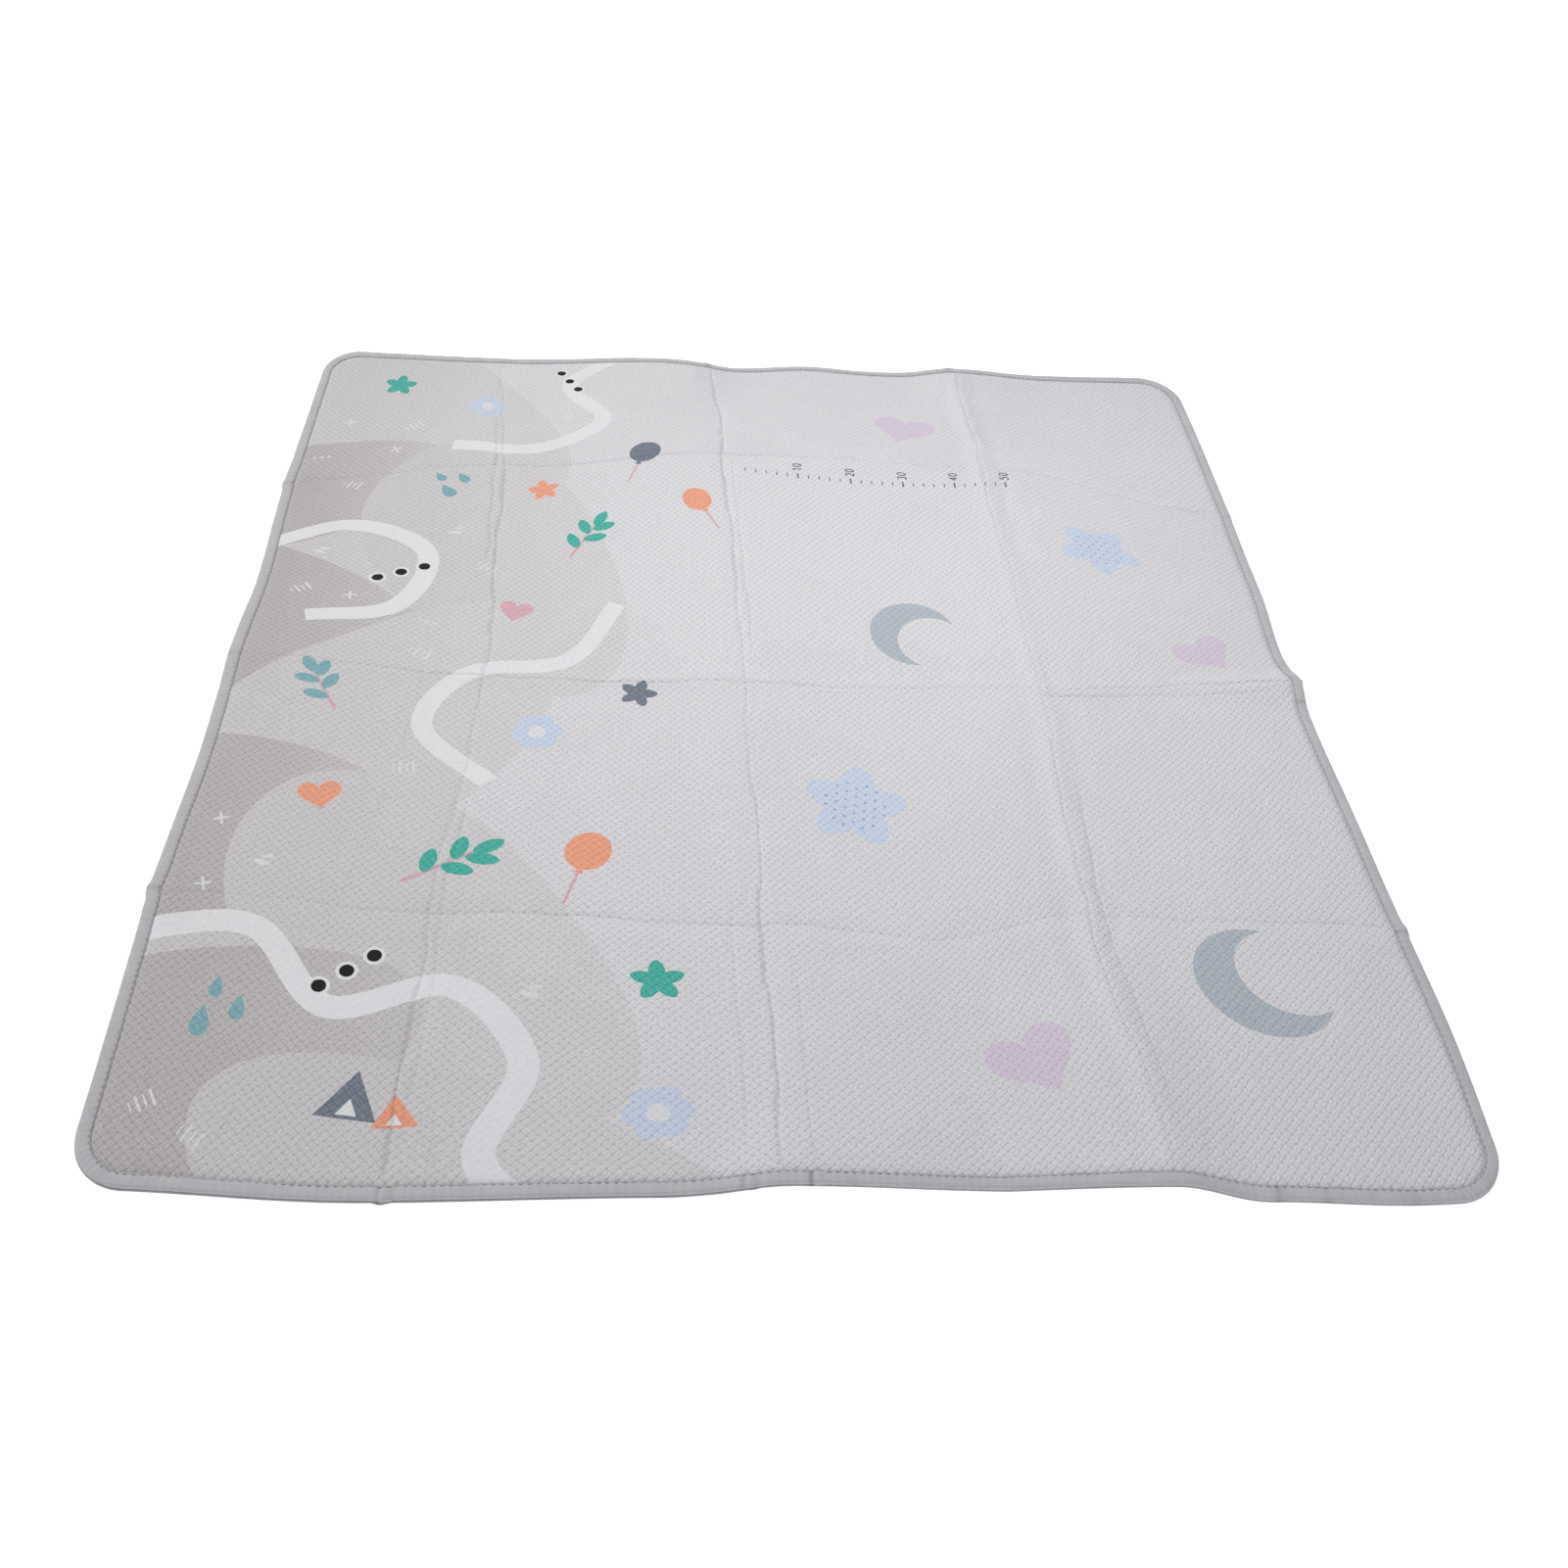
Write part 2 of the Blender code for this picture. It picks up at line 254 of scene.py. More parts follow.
# The folded tape's section, from its sewn edge outwards, round and back: inset, height, how
# much the stitches pull it down, and how much the gap above its lower lip draws it in
TAPE_SECTION = (
    (0.0200, 0.0077, 0.30, 0.0),
    (0.0188, 0.0080, 0.55, 0.0),
    (0.0174, 0.0080, 1.00, 0.0),
    (0.0158, 0.0083, 0.55, 0.0),
    (0.0130, 0.0085, 0.15, 0.0),
    (0.0088, 0.0086, 0.00, 0.0),
    (0.0048, 0.0085, 0.00, 0.0),
    (0.0026, 0.0081, 0.00, 0.0),
    (0.0010, 0.0066, 0.00, 0.0),
    (0.0005, 0.0048, 0.00, 0.1),
    (0.0004, 0.0038, 0.00, 0.4),
    (0.0006, 0.0031, 0.00, 1.0),
    (0.0003, 0.0025, 0.00, 0.2),
    (0.0000, 0.0015, 0.00, -0.3),
    (0.0012, 0.0005, 0.00, 0.0),
    (0.0042, 0.0000, 0.00, 0.0),
    (0.0200, 0.0000, 0.00, 0.0),
    (0.0200, 0.0011, 0.00, 0.0),
    (0.0040, 0.0011, 0.00, 0.0),
    (0.0020, 0.0034, 0.00, 0.9),
    (0.0016, 0.0052, 0.00, 0.0),
    (0.0026, 0.0066, 0.00, 0.0),
    (0.0200, 0.0067, 0.30, 0.0),
)

# Shade painted on the tape at points of its section: at its sewn edge and under its fold
TAPE_PAINTED_SHADE = ((0, 0.5), (1, 0.4), (9, 0.3), (10, 0.6), (11, 0.8), (12, 0.6), (13, 0.5), (14, 0.5))

# Short soft creases beside the fold lines: x and y on the plan, turn from +X in degrees,
# length, half width and depth in metres, a negative depth being a ridge
WRINKLES = (
    (-0.512, 0.61, 84, 0.16, 0.006, 0.0012),
    (-0.470, 0.55, 100, 0.10, 0.007, -0.0009),
    (-0.44, 0.59, 20, 0.13, 0.007, 0.0008),
    (-0.20, 0.60, 8, 0.24, 0.009, 0.0008),
    (-0.085, 0.62, 60, 0.12, 0.006, 0.0009),
    (0.00, 0.58, -12, 0.16, 0.007, -0.0008),
    (0.32, 0.59, 4, 0.22, 0.008, 0.0008),
    (0.50, 0.63, -24, 0.14, 0.008, -0.0009),
    (0.47, 0.46, 82, 0.22, 0.008, 0.0009),
    (-0.47, -0.57, 70, 0.12, 0.006, 0.0011),
    (-0.53, -0.60, 105, 0.14, 0.006, 0.0010),
    (-0.46, -0.66, 84, 0.15, 0.007, -0.0008),
    (-0.08, -0.50, 75, 0.13, 0.007, 0.0010),
    (-0.02, -0.585, -25, 0.15, 0.007, 0.0009),
    (0.12, -0.57, 5, 0.20, 0.008, -0.0009),
    (0.43, -0.50, 100, 0.16, 0.006, 0.0010),
    (0.47, -0.59, 62, 0.18, 0.007, 0.0011),
    (0.50, -0.53, -15, 0.18, 0.008, -0.0008),
    (0.72, -0.56, 3, 0.26, 0.009, 0.0008),
    (-0.04, -0.07, 80, 0.16, 0.007, 0.0010),
    (0.02, -0.04, 14, 0.16, 0.008, 0.0008),
    (0.46, -0.01, 96, 0.14, 0.007, 0.0009),
    (0.62, -0.045, -6, 0.24, 0.008, 0.0007),
    (0.80, -0.020, 5, 0.20, 0.006, 0.0007),
    (0.83, 0.010, 24, 0.12, 0.010, -0.0010),
    (0.83, -0.065, -20, 0.12, 0.009, -0.0008),
    (-0.86, -0.53, -8, 0.12, 0.009, 0.0010),
    (-0.86, 0.56, -6, 0.12, 0.009, 0.0009),
    (-0.10, 0.93, 72, 0.12, 0.010, -0.0016),
    (-0.03, 0.94, 88, 0.12, 0.009, 0.0010),
    (0.40, 0.92, 80, 0.16, 0.012, -0.0014),
    (-0.10, -0.93, 105, 0.12, 0.010, 0.0010),
    (0.50, -0.93, 78, 0.14, 0.010, 0.0012),
)


def eased(share):
    """Runs smoothly from 1 at 0 down to 0 at 1 and beyond."""
    return 0.5 + 0.5 * np.cos(np.pi * np.clip(share, 0.0, 1.0))


def read_line(points, at):
    """The place of a real line, read smoothly between its points."""
    starts, places = np.array(points).T
    index = np.clip(np.searchsorted(starts, at) - 1, 0, len(starts) - 2)
    share = (at - starts[index]) / (starts[index + 1] - starts[index])
    return places[index + 1] + (places[index] - places[index + 1]) * eased(share)


def drawn_between(lines, value, at):
    """Plan coordinates, drawn to lie between the real places of the lines on either side."""
    plan = np.array([line[1] for line in lines])
    real = np.array([read_line(line[2], at) for line in lines])
    index = np.clip(np.searchsorted(plan, value) - 1, 0, len(plan) - 2)
    every = np.arange(len(value))
    start = real[index, every]
    share = (value - plan[index]) / (plan[index + 1] - plan[index])
    return start + share * (real[index + 1, every] - start)


def lift(x, y):
    """Height of the underside above the floor at places on the plan."""
    height = np.zeros(len(x))
    for _, centre_x, centre_y, left, right, near, far, top in SWELLS:
        across = (x - centre_x) / np.where(x > centre_x, right, left)
        along = (y - centre_y) / np.where(y > centre_y, far, near)
        height = np.maximum(height, top * eased(np.hypot(across, along)))
    return height


def inset_of(x, y):
    """How far places on the plan lie inside the mat's outline."""
    over_x = np.abs(x) - (MAT_WIDTH / 2 - CORNER_RADIUS)
    over_y = np.abs(y) - (MAT_LENGTH / 2 - CORNER_RADIUS)
    corner = CORNER_RADIUS - np.hypot(np.maximum(over_x, 0), np.maximum(over_y, 0))
    return np.where(
        (over_x > 0) & (over_y > 0), corner, CORNER_RADIUS - np.maximum(over_x, over_y)
    )


def crease_shift(along, phase):
    """How far a pressed fold line wanders off its straight course."""
    return sum(
        reach * np.sin(turns * along + share * phase) for reach, turns, share in CREASE_WANDER
    )


SIDEWAYS = {"left": (-1, 0), "right": (1, 0), "near": (0, -1), "far": (0, 1)}


def on_side(side, x, y):
    """Which places are near one side of the mat, and where they are along it."""
    out_x, out_y = SIDEWAYS[side]
    facing = x * out_x / MAT_WIDTH + y * out_y / MAT_LENGTH > BESIDE_EDGE
    return facing, y if out_x else x


def kink(x, y):
    """How far places near the edge are pushed outwards, and how much they rise."""
    push = np.zeros((len(x), 2))
    rise = np.zeros(len(x))
    fade = eased(inset_of(x, y) / KINK_FADE)
    for side, place, out, reach, up in KINKS:
        facing, along = on_side(side, x, y)
        swell = fade * facing * eased(np.abs(along - place) / reach) ** 1.5
        push += out * swell[:, None] * SIDEWAYS[side]
        rise += up * swell
    return push, rise


def crease_lines_at(x, y):
    """For each fold line: how far places are from it, its strength there, and its depths."""
    for _, lengthwise, place, start, end, narrow, wide, phase in CREASES:
        across, along = (x, y) if lengthwise else (y, x)
        away = np.abs(across - place - crease_shift(along, phase))
        strength = 0.85 + 0.35 * np.sin(5.0 * along + 3.0 * phase)
        if end - start < SHORT_CREASE:
            strength = strength * eased((start - along) / CREASE_FADE + 1)
            strength = strength * eased((along - end) / CREASE_FADE + 1)
        yield away, strength, narrow, wide, along


def crease_dent(x, y):
    """Depth of the fold lines: a narrow pressed line in a wide soft trough or on a ridge."""
    dent = np.zeros(len(x))
    for away, strength, narrow, wide, _ in crease_lines_at(x, y):
        line = narrow * np.exp(-((away / CREASE_DENT) ** 2))
        trough = wide * np.exp(-((away / TROUGH) ** 2))
        shoulder = SHOULDER_SHARE * wide * np.exp(-(((away - SHOULDER_AWAY) / TROUGH) ** 2))
        dent += strength * (line + trough - shoulder)
    return dent


def crease_painted_shade(x, y):
    """Painted shade along the pressed lines, in uneven short stretches."""
    tone = np.zeros(len(x))
    for away, strength, narrow, _, along in crease_lines_at(x, y):
        patchy = 0.62 + 0.38 * np.sin(310.0 * along) * np.sin(83.0 * along + 1.0)
        patchy *= 0.75 + 0.25 * np.sin(23.0 * along + 2.0)
        line = strength * (narrow / DARK_CREASE) * patchy * np.maximum(0.0, 1 - away / CREASE_SIDE)
        tone = np.maximum(tone, line)
    return np.clip(tone, 0.0, 1.0)


def wrinkle_dent(x, y):
    """Depth of the short soft creases."""
    dent = np.zeros(len(x))
    for centre_x, centre_y, turn, length, half_width, depth in WRINKLES:
        angle = math.radians(turn)
        along = (x - centre_x) * math.cos(angle) + (y - centre_y) * math.sin(angle)
        across = (y - centre_y) * math.cos(angle) - (x - centre_x) * math.sin(angle)
        bent = across - 0.25 * along * along / length
        dent += depth * np.exp(-((bent / half_width) ** 2)) * eased(2 * np.abs(along) / length)
    return dent


def soft_waves(x, y):
    """The pad's own slow unevenness between its folds."""
    return sum(
        height * np.sin(a * x + b * y + c) * np.sin(d * x + e * y + f)
        for height, (a, b, c), (d, e, f) in PAD_WAVES
    )


def pad_profile(inset):
    """Height of the top face over the underside, from the rim inwards."""
    out = np.maximum(inset - TAPE_WIDTH, 0.0)
    puffed = RIM_TOP + PUFF * (1.0 - np.exp(-out / PUFF_REACH))
    settled = puffed + (PAD_THICKNESS - RIM_TOP - PUFF) * (1 - eased(inset / SETTLE_REACH))
    return np.where(inset < SEAM_EDGE, RIM_TOP, settled)


def at_stitches(walk):
    """Runs from 1 at each stitch of a seam to 0 between two of them."""
    return 0.5 + 0.5 * np.cos(2 * np.pi * walk / STITCH_PITCH)


def pucker(walk, inset):
    """How far each stitch pulls the cover down beside the tape."""
    return PUCKER * at_stitches(walk) * eased((inset - TAPE_WIDTH) / PUCKER_REACH)


def top_height(x, y, inset, checker):
    """Height of the printed face above the floor."""
    inside = 1.0 - eased((inset - TAPE_WIDTH) / FOLDS_REACH)
    seam = np.where(inset > SEAM_EDGE, 1.0, 0.0)
    dents = crease_dent(x, y) + wrinkle_dent(x, y) - soft_waves(x, y)
    height = lift(x, y) + pad_profile(inset) - inside * dents
    height -= seam * pucker(walk_of(x, y), inset)
    return height + BLOCK_RELIEF * checker * np.minimum(1.0, inside * WEAVE_ONSET) * seam


def drawn(x, y, z, middle):
    """Places on the plan, moved to where the cloth really lies."""
    push, rise = kink(x, y)
    real_x = drawn_between(LENGTHWISE_LINES, x, y) + push[:, 0] - middle[0]
    real_y = drawn_between(CROSSWISE_LINES, y, x) + push[:, 1] - middle[1]
    return np.stack([real_x, real_y, z + rise], axis=1)


def walk_of(x, y):
    """How far round the outline the nearest edge is, from the near edge's left end."""
    straight_x = MAT_WIDTH - 2 * CORNER_RADIUS
    straight_y = MAT_LENGTH - 2 * CORNER_RADIUS
    quarter = CORNER_RADIUS * math.pi / 2
    over_x = np.abs(x) - straight_x / 2
    over_y = np.abs(y) - straight_y / 2
    corner = (over_x > 0) & (over_y > 0)
    bend = np.arctan2(np.maximum(over_y, 1e-9), np.maximum(over_x, 1e-9)) * CORNER_RADIUS
    beside = over_x > over_y
    near = straight_x / 2 + x
    right = straight_x + quarter + straight_y / 2 + y
    far = straight_x + 2 * quarter + straight_y + straight_x / 2 - x
    left = 2 * straight_x + 3 * quarter + straight_y + straight_y / 2 - y
    straight = np.where(beside, np.where(x > 0, right, left), np.where(y > 0, far, near))
    start = np.where(
        x > 0,
        np.where(y > 0, straight_x + quarter + straight_y, straight_x),
        np.where(y > 0, 2 * straight_x + 2 * quarter + straight_y,
                 2 * straight_x + 3 * quarter + 2 * straight_y),
    )
    ahead = np.where((x > 0) == (y > 0), bend, quarter - bend)
    return np.where(corner, start + ahead, straight)


def rim_stations(spacing):
    """Places round the plan's outline, from the near edge's middle: (x, y, out x, out y)."""
    half_x = MAT_WIDTH / 2 - CORNER_RADIUS
    half_y = MAT_LENGTH / 2 - CORNER_RADIUS
    quarter = CORNER_RADIUS * math.pi / 2
    bends = max(4, round(quarter / spacing))
    stations = []
    for turn, (mid_x, mid_y, run) in enumerate(
        ((0, -1, half_x), (1, 0, half_y), (0, 1, half_x), (-1, 0, half_y))
    ):
        forward = (-mid_y, mid_x)
        steps = round(2 * run / spacing)
        for step in range(steps):
            slide = -run + 2 * run * step / steps
            stations.append((
                mid_x * MAT_WIDTH / 2 + forward[0] * slide,
                mid_y * MAT_LENGTH / 2 + forward[1] * slide,
                mid_x,
                mid_y,
            ))
        centre_x = half_x if turn in (0, 1) else -half_x
        centre_y = half_y if turn in (1, 2) else -half_y
        for step in range(bends):
            angle = math.pi / 2 * (turn - 1 + step / bends)
            out_x, out_y = math.cos(angle), math.sin(angle)
            stations.append((
                centre_x + CORNER_RADIUS * out_x, centre_y + CORNER_RADIUS * out_y, out_x, out_y
            ))
    return np.array(stations)


def ring_at(stations, inset):
    """The stations' places at an inset from the outline."""
    return stations[:, :2] - stations[:, 2:] * inset


def middle_of_outline():
    """The middle of the mat's real outline, which the mat is centred on."""
    x, y = ring_at(rim_stations(0.02), 0.0).T
    outline = drawn(x, y, np.zeros(len(x)), (0.0, 0.0))
    return (outline.min(axis=0)[:2] + outline.max(axis=0)[:2]) / 2


# Print shapes. Each gives one closed outline round (0, 0), about 1 across.
def turned(points, turn):
    angle = math.radians(turn)
    x, y = np.asarray(points, float).T
    return np.stack([
        x * math.cos(angle) - y * math.sin(angle), x * math.sin(angle) + y * math.cos(angle)
    ], axis=1)


def whole_turn(sides):
    return np.linspace(0, 2 * np.pi, sides, endpoint=False)


def round_shape(reach, angle, flatness=1.0):
    return np.stack([reach * np.cos(angle), flatness * reach * np.sin(angle)], axis=1)


def disc(sides=28):
    return round_shape(0.5, whole_turn(sides))


def pebble(flatness, lean=0.06, sides=90):
    angle = whole_turn(sides)
    reach = 0.5 * (1 + lean * np.cos(2 * angle + 0.7) + 0.6 * lean * np.cos(3 * angle - 0.4))
    return round_shape(reach, angle, flatness)


def star(waist=0.5, arms=5, sides=8):
    angle = whole_turn(arms * 2 * sides)
    share = np.abs((angle * arms / np.pi) % 2 - 1)
    reach = 0.5 * (waist + (1 - waist) * (1 - (1 - share) ** 1.35) ** 1.1)
    return round_shape(reach, angle)


def flower(petals=6, depth=0.20, sides=12):
    angle = whole_turn(petals * sides)
    return round_shape(
        0.5 * (1 - depth + depth * np.abs(np.cos(petals * angle / 2)) ** 0.7), angle
    )


def heart(sides=48):
    t = whole_turn(sides)
    x = 16 * np.sin(t) ** 3
    y = 13 * np.cos(t) - 5 * np.cos(2 * t) - 2 * np.cos(3 * t) - np.cos(4 * t)
    return np.stack([x, y + 2.5], axis=1) / 32


def drop(sides=40):
    t = whole_turn(sides)
    return np.stack([0.36 * np.sin(t) * np.sin(t / 2) ** 1.3, 0.5 * np.cos(t)], axis=1)


def crescent(sides=26, outer_half=2.25, inner_half=1.75):
    t = np.linspace(-outer_half, outer_half, sides)
    s = np.linspace(inner_half, -inner_half, sides)[1:-1]
    inner_radius = 0.5 * math.sin(outer_half) / math.sin(inner_half)
    shift = -0.5 * math.cos(outer_half) + inner_radius * math.cos(inner_half)
    outer = np.stack([-0.5 * np.cos(t), 0.5 * np.sin(t)], axis=1)
    inner = np.stack([shift - inner_radius * np.cos(s), inner_radius * np.sin(s)], axis=1)
    return np.concatenate([outer, inner])


def leaf(fatness=0.42, sides=14):
    t = np.linspace(0, np.pi, sides)
    upper = np.stack([-0.5 * np.cos(t), 0.5 * fatness * np.sin(t) ** 1.2], axis=1)
    return np.concatenate([upper, upper[-2:0:-1] * (1, -1)])


def bar(length=1.0, width=0.1):
    return np.array([(-length, -width), (length, -width), (length, width), (-length, width)]) / 2


def gable():
    return np.array([(-0.5, -0.36), (0.5, -0.36), (0.0, 0.5)])


def smooth_path(points, steps=9):
    """A smooth curve through a few points."""
    knots = np.asarray(points, float)
    padded = np.concatenate([[2 * knots[0] - knots[1]], knots, [2 * knots[-1] - knots[-2]]])
    path = []
    for before, start, end, after in zip(padded, padded[1:], padded[2:], padded[3:]):
        for t in np.linspace(0, 1, steps, endpoint=False):
            path.append(0.5 * (
                2 * start + (end - before) * t
                + (2 * before - 5 * start + 4 * end - after) * t * t
                + (3 * start - before - 3 * end + after) * t ** 3
            ))
    return np.array(path + [knots[-1]])


def ribbon(points, width, steps=9):
    """The outline of a band of even width along a smooth curve."""
    path = smooth_path(points, steps)
    ahead = np.gradient(path, axis=0)
    ahead /= np.linalg.norm(ahead, axis=1)[:, None]
    side = np.stack([-ahead[:, 1], ahead[:, 0]], axis=1) * width / 2
    return np.concatenate([path + side, (path - side)[::-1]])


def hex_to_linear(code):
    """An sRGB hex colour as linear values."""
    values = [int(code[place:place + 2], 16) / 255 for place in (1, 3, 5)]
    return [v / 12.92 if v <= 0.04045 else ((v + 0.055) / 1.055) ** 2.4 for v in values]


# Inks of the print, and how much each fills the weave: sRGB colour, share
INKS = {
    "ground": ("#D6D6D7", 0.0),
    "pale stone": ("#D0CECE", 0.1),
    "stone": ("#C9C7C7", 0.1),
    "deep stone": ("#B5B1B0", 0.1),
    "white": ("#DCDCDD", 1.0),
    "fine white": ("#D9DADB", 0.5),
    "teal": ("#2CAB99", 0.3),
    "soft teal": ("#76A8AE", 0.3),
    "coral": ("#E79B78", 0.3),
    "slate": ("#697280", 0.3),
    "pink": ("#D4A6B0", 0.3),
    "sky": ("#C3D0E1", 0.2),
    "sky dot": ("#93A8CE", 0.2),
    "lilac": ("#D2C4D5", 0.2),
    "mist": ("#AAB4BB", 0.2),
    "black": ("#030304", 1.2),
    "mark": ("#55565C", 0.5),
}

# Large soft pebbles, back to front, each paler towards one end: x, y, length, flatness, turn in
# degrees, its deep ink and its paler ink, and how far the one end stands from the other, in lengths
PEBBLES = (
    (-0.95, 0.00, 2.50, 0.29, 90, "stone", "pale stone", 0.14),
    (-0.90, 0.98, 0.62, 0.62, 18, "stone", "pale stone", 0.9),
    (-0.66, 0.76, 0.70, 0.66, -48, "stone", "pale stone", 0.5),
    (-0.93, 0.50, 0.66, 0.55, 20, "deep stone", "stone", 0.6),
    (-0.50, 0.30, 0.74, 0.58, -64, "stone", "pale stone", 0.5),
    (-0.90, 0.10, 0.74, 0.60, -30, "deep stone", "stone", 0.6),
    (-0.66, -0.18, 0.74, 0.62, 56, "stone", "pale stone", 0.8),
    (-0.92, -0.42, 0.66, 0.66, 8, "deep stone", "pale stone", 0.8),
    (-0.52, -0.60, 0.72, 0.60, -46, "stone", "pale stone", 0.7),
    (-0.88, -0.86, 0.78, 0.52, 24, "deep stone", "stone", 0.8),
    (-0.44, -0.98, 0.66, 0.50, -14, "stone", "pale stone", 0.6),
)

# White bands: width, and the points that each curves through
BANDS = (
    (0.034, ((-0.26, 1.00), (-0.36, 0.88), (-0.30, 0.74), (-0.44, 0.64), (-0.60, 0.66))),
    (0.036, ((-0.90, 0.34), (-0.76, 0.40), (-0.62, 0.30), (-0.66, 0.14), (-0.80, 0.10))),
    (0.032, ((-0.28, 0.16), (-0.36, 0.02), (-0.52, -0.02), (-0.58, -0.16), (-0.46, -0.28))),
    (0.038, ((-0.90, -0.62), (-0.74, -0.60), (-0.62, -0.72), (-0.46, -0.68), (-0.36, -0.80),
             (-0.40, -0.94), (-0.34, -1.02))),
)

# Small motifs: kind, x, y, size, turn in degrees, ink
MOTIFS = (
    ("star", -0.72, 0.88, 0.072, 10, "teal"),
    ("star", -0.42, 0.50, 0.062, 30, "coral"),
    ("balloon", -0.22, 0.60, 0.074, -20, "slate"),
    ("balloon", -0.12, 0.44, 0.066, 24, "coral"),
    ("flower", -0.53, 0.80, 0.078, 0, "sky"),
    ("heart", -0.46, 0.14, 0.060, -12, "pink"),
    ("sprig", -0.34, 0.34, 0.110, 62, "teal"),
    ("sprig", -0.74, -0.10, 0.105, 118, "soft teal"),
    ("flower", -0.40, -0.16, 0.084, 12, "sky"),
    ("star", -0.24, -0.06, 0.066, 0, "slate"),
    ("balloon", -0.30, -0.42, 0.078, -14, "coral"),
    ("sprig", -0.50, -0.46, 0.120, 34, "teal"),
    ("heart", -0.70, -0.34, 0.066, 16, "coral"),
    ("star", -0.20, -0.66, 0.074, 22, "teal"),
    ("gable", -0.56, -0.86, 0.084, -6, "slate"),
    ("gable", -0.50, -0.88, 0.058, 4, "coral"),
    ("flower", -0.20, -0.88, 0.086, 8, "sky"),
    ("drops", -0.78, -0.76, 0.050, 0, "soft teal"),
    ("drops", -0.60, 0.50, 0.046, 30, "soft teal"),
    ("beads", -0.66, 0.24, 0.020, 24, "black"),
    ("beads", -0.36, 0.90, 0.018, -64, "black"),
    ("beads", -0.60, -0.66, 0.021, 40, "black"),
    ("moon", 0.66, -0.66, 0.190, 24, "mist"),
    ("moon", 0.24, 0.10, 0.150, -34, "mist"),
    ("dotted star", 0.10, -0.30, 0.170, 8, "sky"),
    ("dotted star", 0.62, 0.36, 0.150, -16, "sky"),
    ("heart", 0.30, 0.72, 0.120, -18, "lilac"),
    ("heart", 0.30, -0.80, 0.130, 20, "lilac"),
    ("heart", 0.76, 0.06, 0.110, 30, "lilac"),
)

# How far small white marks keep from other motifs, from the white bands and from each other
CLEAR_OF_MOTIF = 0.07
CLEAR_OF_BAND = 0.05
MARK_SPACING = 0.082

# A plain measuring scale: start x and y, sag of its middle, tick spacing, ticks to a number
SCALE_START = (-0.02, 0.530)
SCALE_SAG = 0.018
SCALE_TICK = 0.020
SCALE_TICKS_TO_NUMBER = 5
SCALE_NUMBERS = ("10", "20", "30", "40", "50")
SCALE_DIGIT = 0.018
SCALE_DIGIT_PITCH = 0.0125
SCALE_NUMBER_RISE = 0.020
SCALE_LONG_TICK = 0.015
SCALE_SHORT_TICK = 0.010

# Plain digits as strokes in a box of height 1 round (0, 0)
DIGITS = {
    "0": (((0.0, 0.46), (-0.2, 0.2), (-0.2, -0.2), (0.0, -0.46), (0.2, -0.2), (0.2, 0.2),
           (0.03, 0.46)),),
    "1": (((-0.14, 0.30), (0.05, 0.46)), ((0.05, 0.46), (0.05, -0.46))),
    "2": (((-0.2, 0.26), (0.0, 0.46), (0.2, 0.24), (0.0, -0.1), (-0.22, -0.42)),
          ((-0.24, -0.42), (0.24, -0.42))),
    "3": (((-0.2, 0.38), (0.06, 0.43), (0.16, 0.22), (-0.04, 0.04)),
          ((-0.04, 0.04), (0.2, -0.2), (0.02, -0.44), (-0.22, -0.36))),
    "4": (((0.1, -0.46), (0.1, 0.46)), ((0.1, 0.46), (-0.22, -0.16)),
          ((-0.22, -0.16), (0.26, -0.16))),
    "5": (((0.2, 0.42), (-0.16, 0.42)), ((-0.15, 0.42), (-0.18, 0.06)),
          ((-0.18, 0.06), (0.1, 0.12), (0.2, -0.16), (0.0, -0.44), (-0.22, -0.36))),
}


def lay(page, outline, x, y, size, turn, ink, paler=None):
    """Prints one outline on the page, which may pale to another ink: (ink, start x, end x)."""
    page.append((turned(np.asarray(outline) * size, turn) + (x, y), ink, paler))


def beside(x, y, turn, ahead, aside=0.0):
    """A place ahead of and beside another, along its turn."""
    angle = math.radians(turn)
    return (
        x + ahead * math.cos(angle) - aside * math.sin(angle),
        y + ahead * math.sin(angle) + aside * math.cos(angle),
    )


def lay_flower(page, x, y, size, turn, ink):
    lay(page, flower(), x, y, size, turn, ink)
    lay(page, disc(16), x, y, size * 0.34, 0, "fine white")


def lay_balloon(page, x, y, size, turn, ink):
    tail_x, tail_y = beside(x, y, turn - 90, size * 0.95)
    lay(page, bar(0.9, 0.05), tail_x, tail_y, size, turn + 90, "pink")
    lay(page, disc() * (0.84, 1.0), x, y, size, turn, ink)
    lay(page, gable(), *beside(x, y, turn - 90, size * 0.53), size * 0.2, turn, ink)


def lay_sprig(page, x, y, size, turn, ink):
    lay(page, bar(1.0, 0.05), x, y, size, turn, "pink")
    for ahead, side, lean in ((-0.20, 1, 48), (0.02, -1, -50), (0.20, 1, 46), (0.34, -1, -42)):
        place = beside(x, y, turn, ahead * size + 0.12 * size, side * 0.15 * size)
        lay(page, leaf(0.5), *place, size * 0.40, turn + lean, ink)
    lay(page, leaf(0.5), *beside(x, y, turn, 0.62 * size), size * 0.40, turn, ink)


def lay_gable(page, x, y, size, turn, ink):
    lay(page, gable(), x, y, size, turn, ink)
    lay(page, gable(), *beside(x, y, turn - 90, size * 0.17), size * 0.34, turn, "white")


def lay_drops(page, x, y, size, turn, ink):
    for ahead, aside, share in ((0.0, 0.0, 1.0), (0.9, 0.5, 0.8), (0.2, 1.1, 0.7)):
        place = beside(x, y, turn, ahead * size, aside * size)
        lay(page, drop(), *place, size * share, turn, ink)


def lay_beads(page, x, y, size, turn, ink):
    for ahead in (-2.1, 0.0, 2.1):
        place = beside(x, y, turn, ahead * size)
        lay(page, disc(), *place, size * 1.5, 0, "white")
        lay(page, disc(), *place, size, 0, ink)


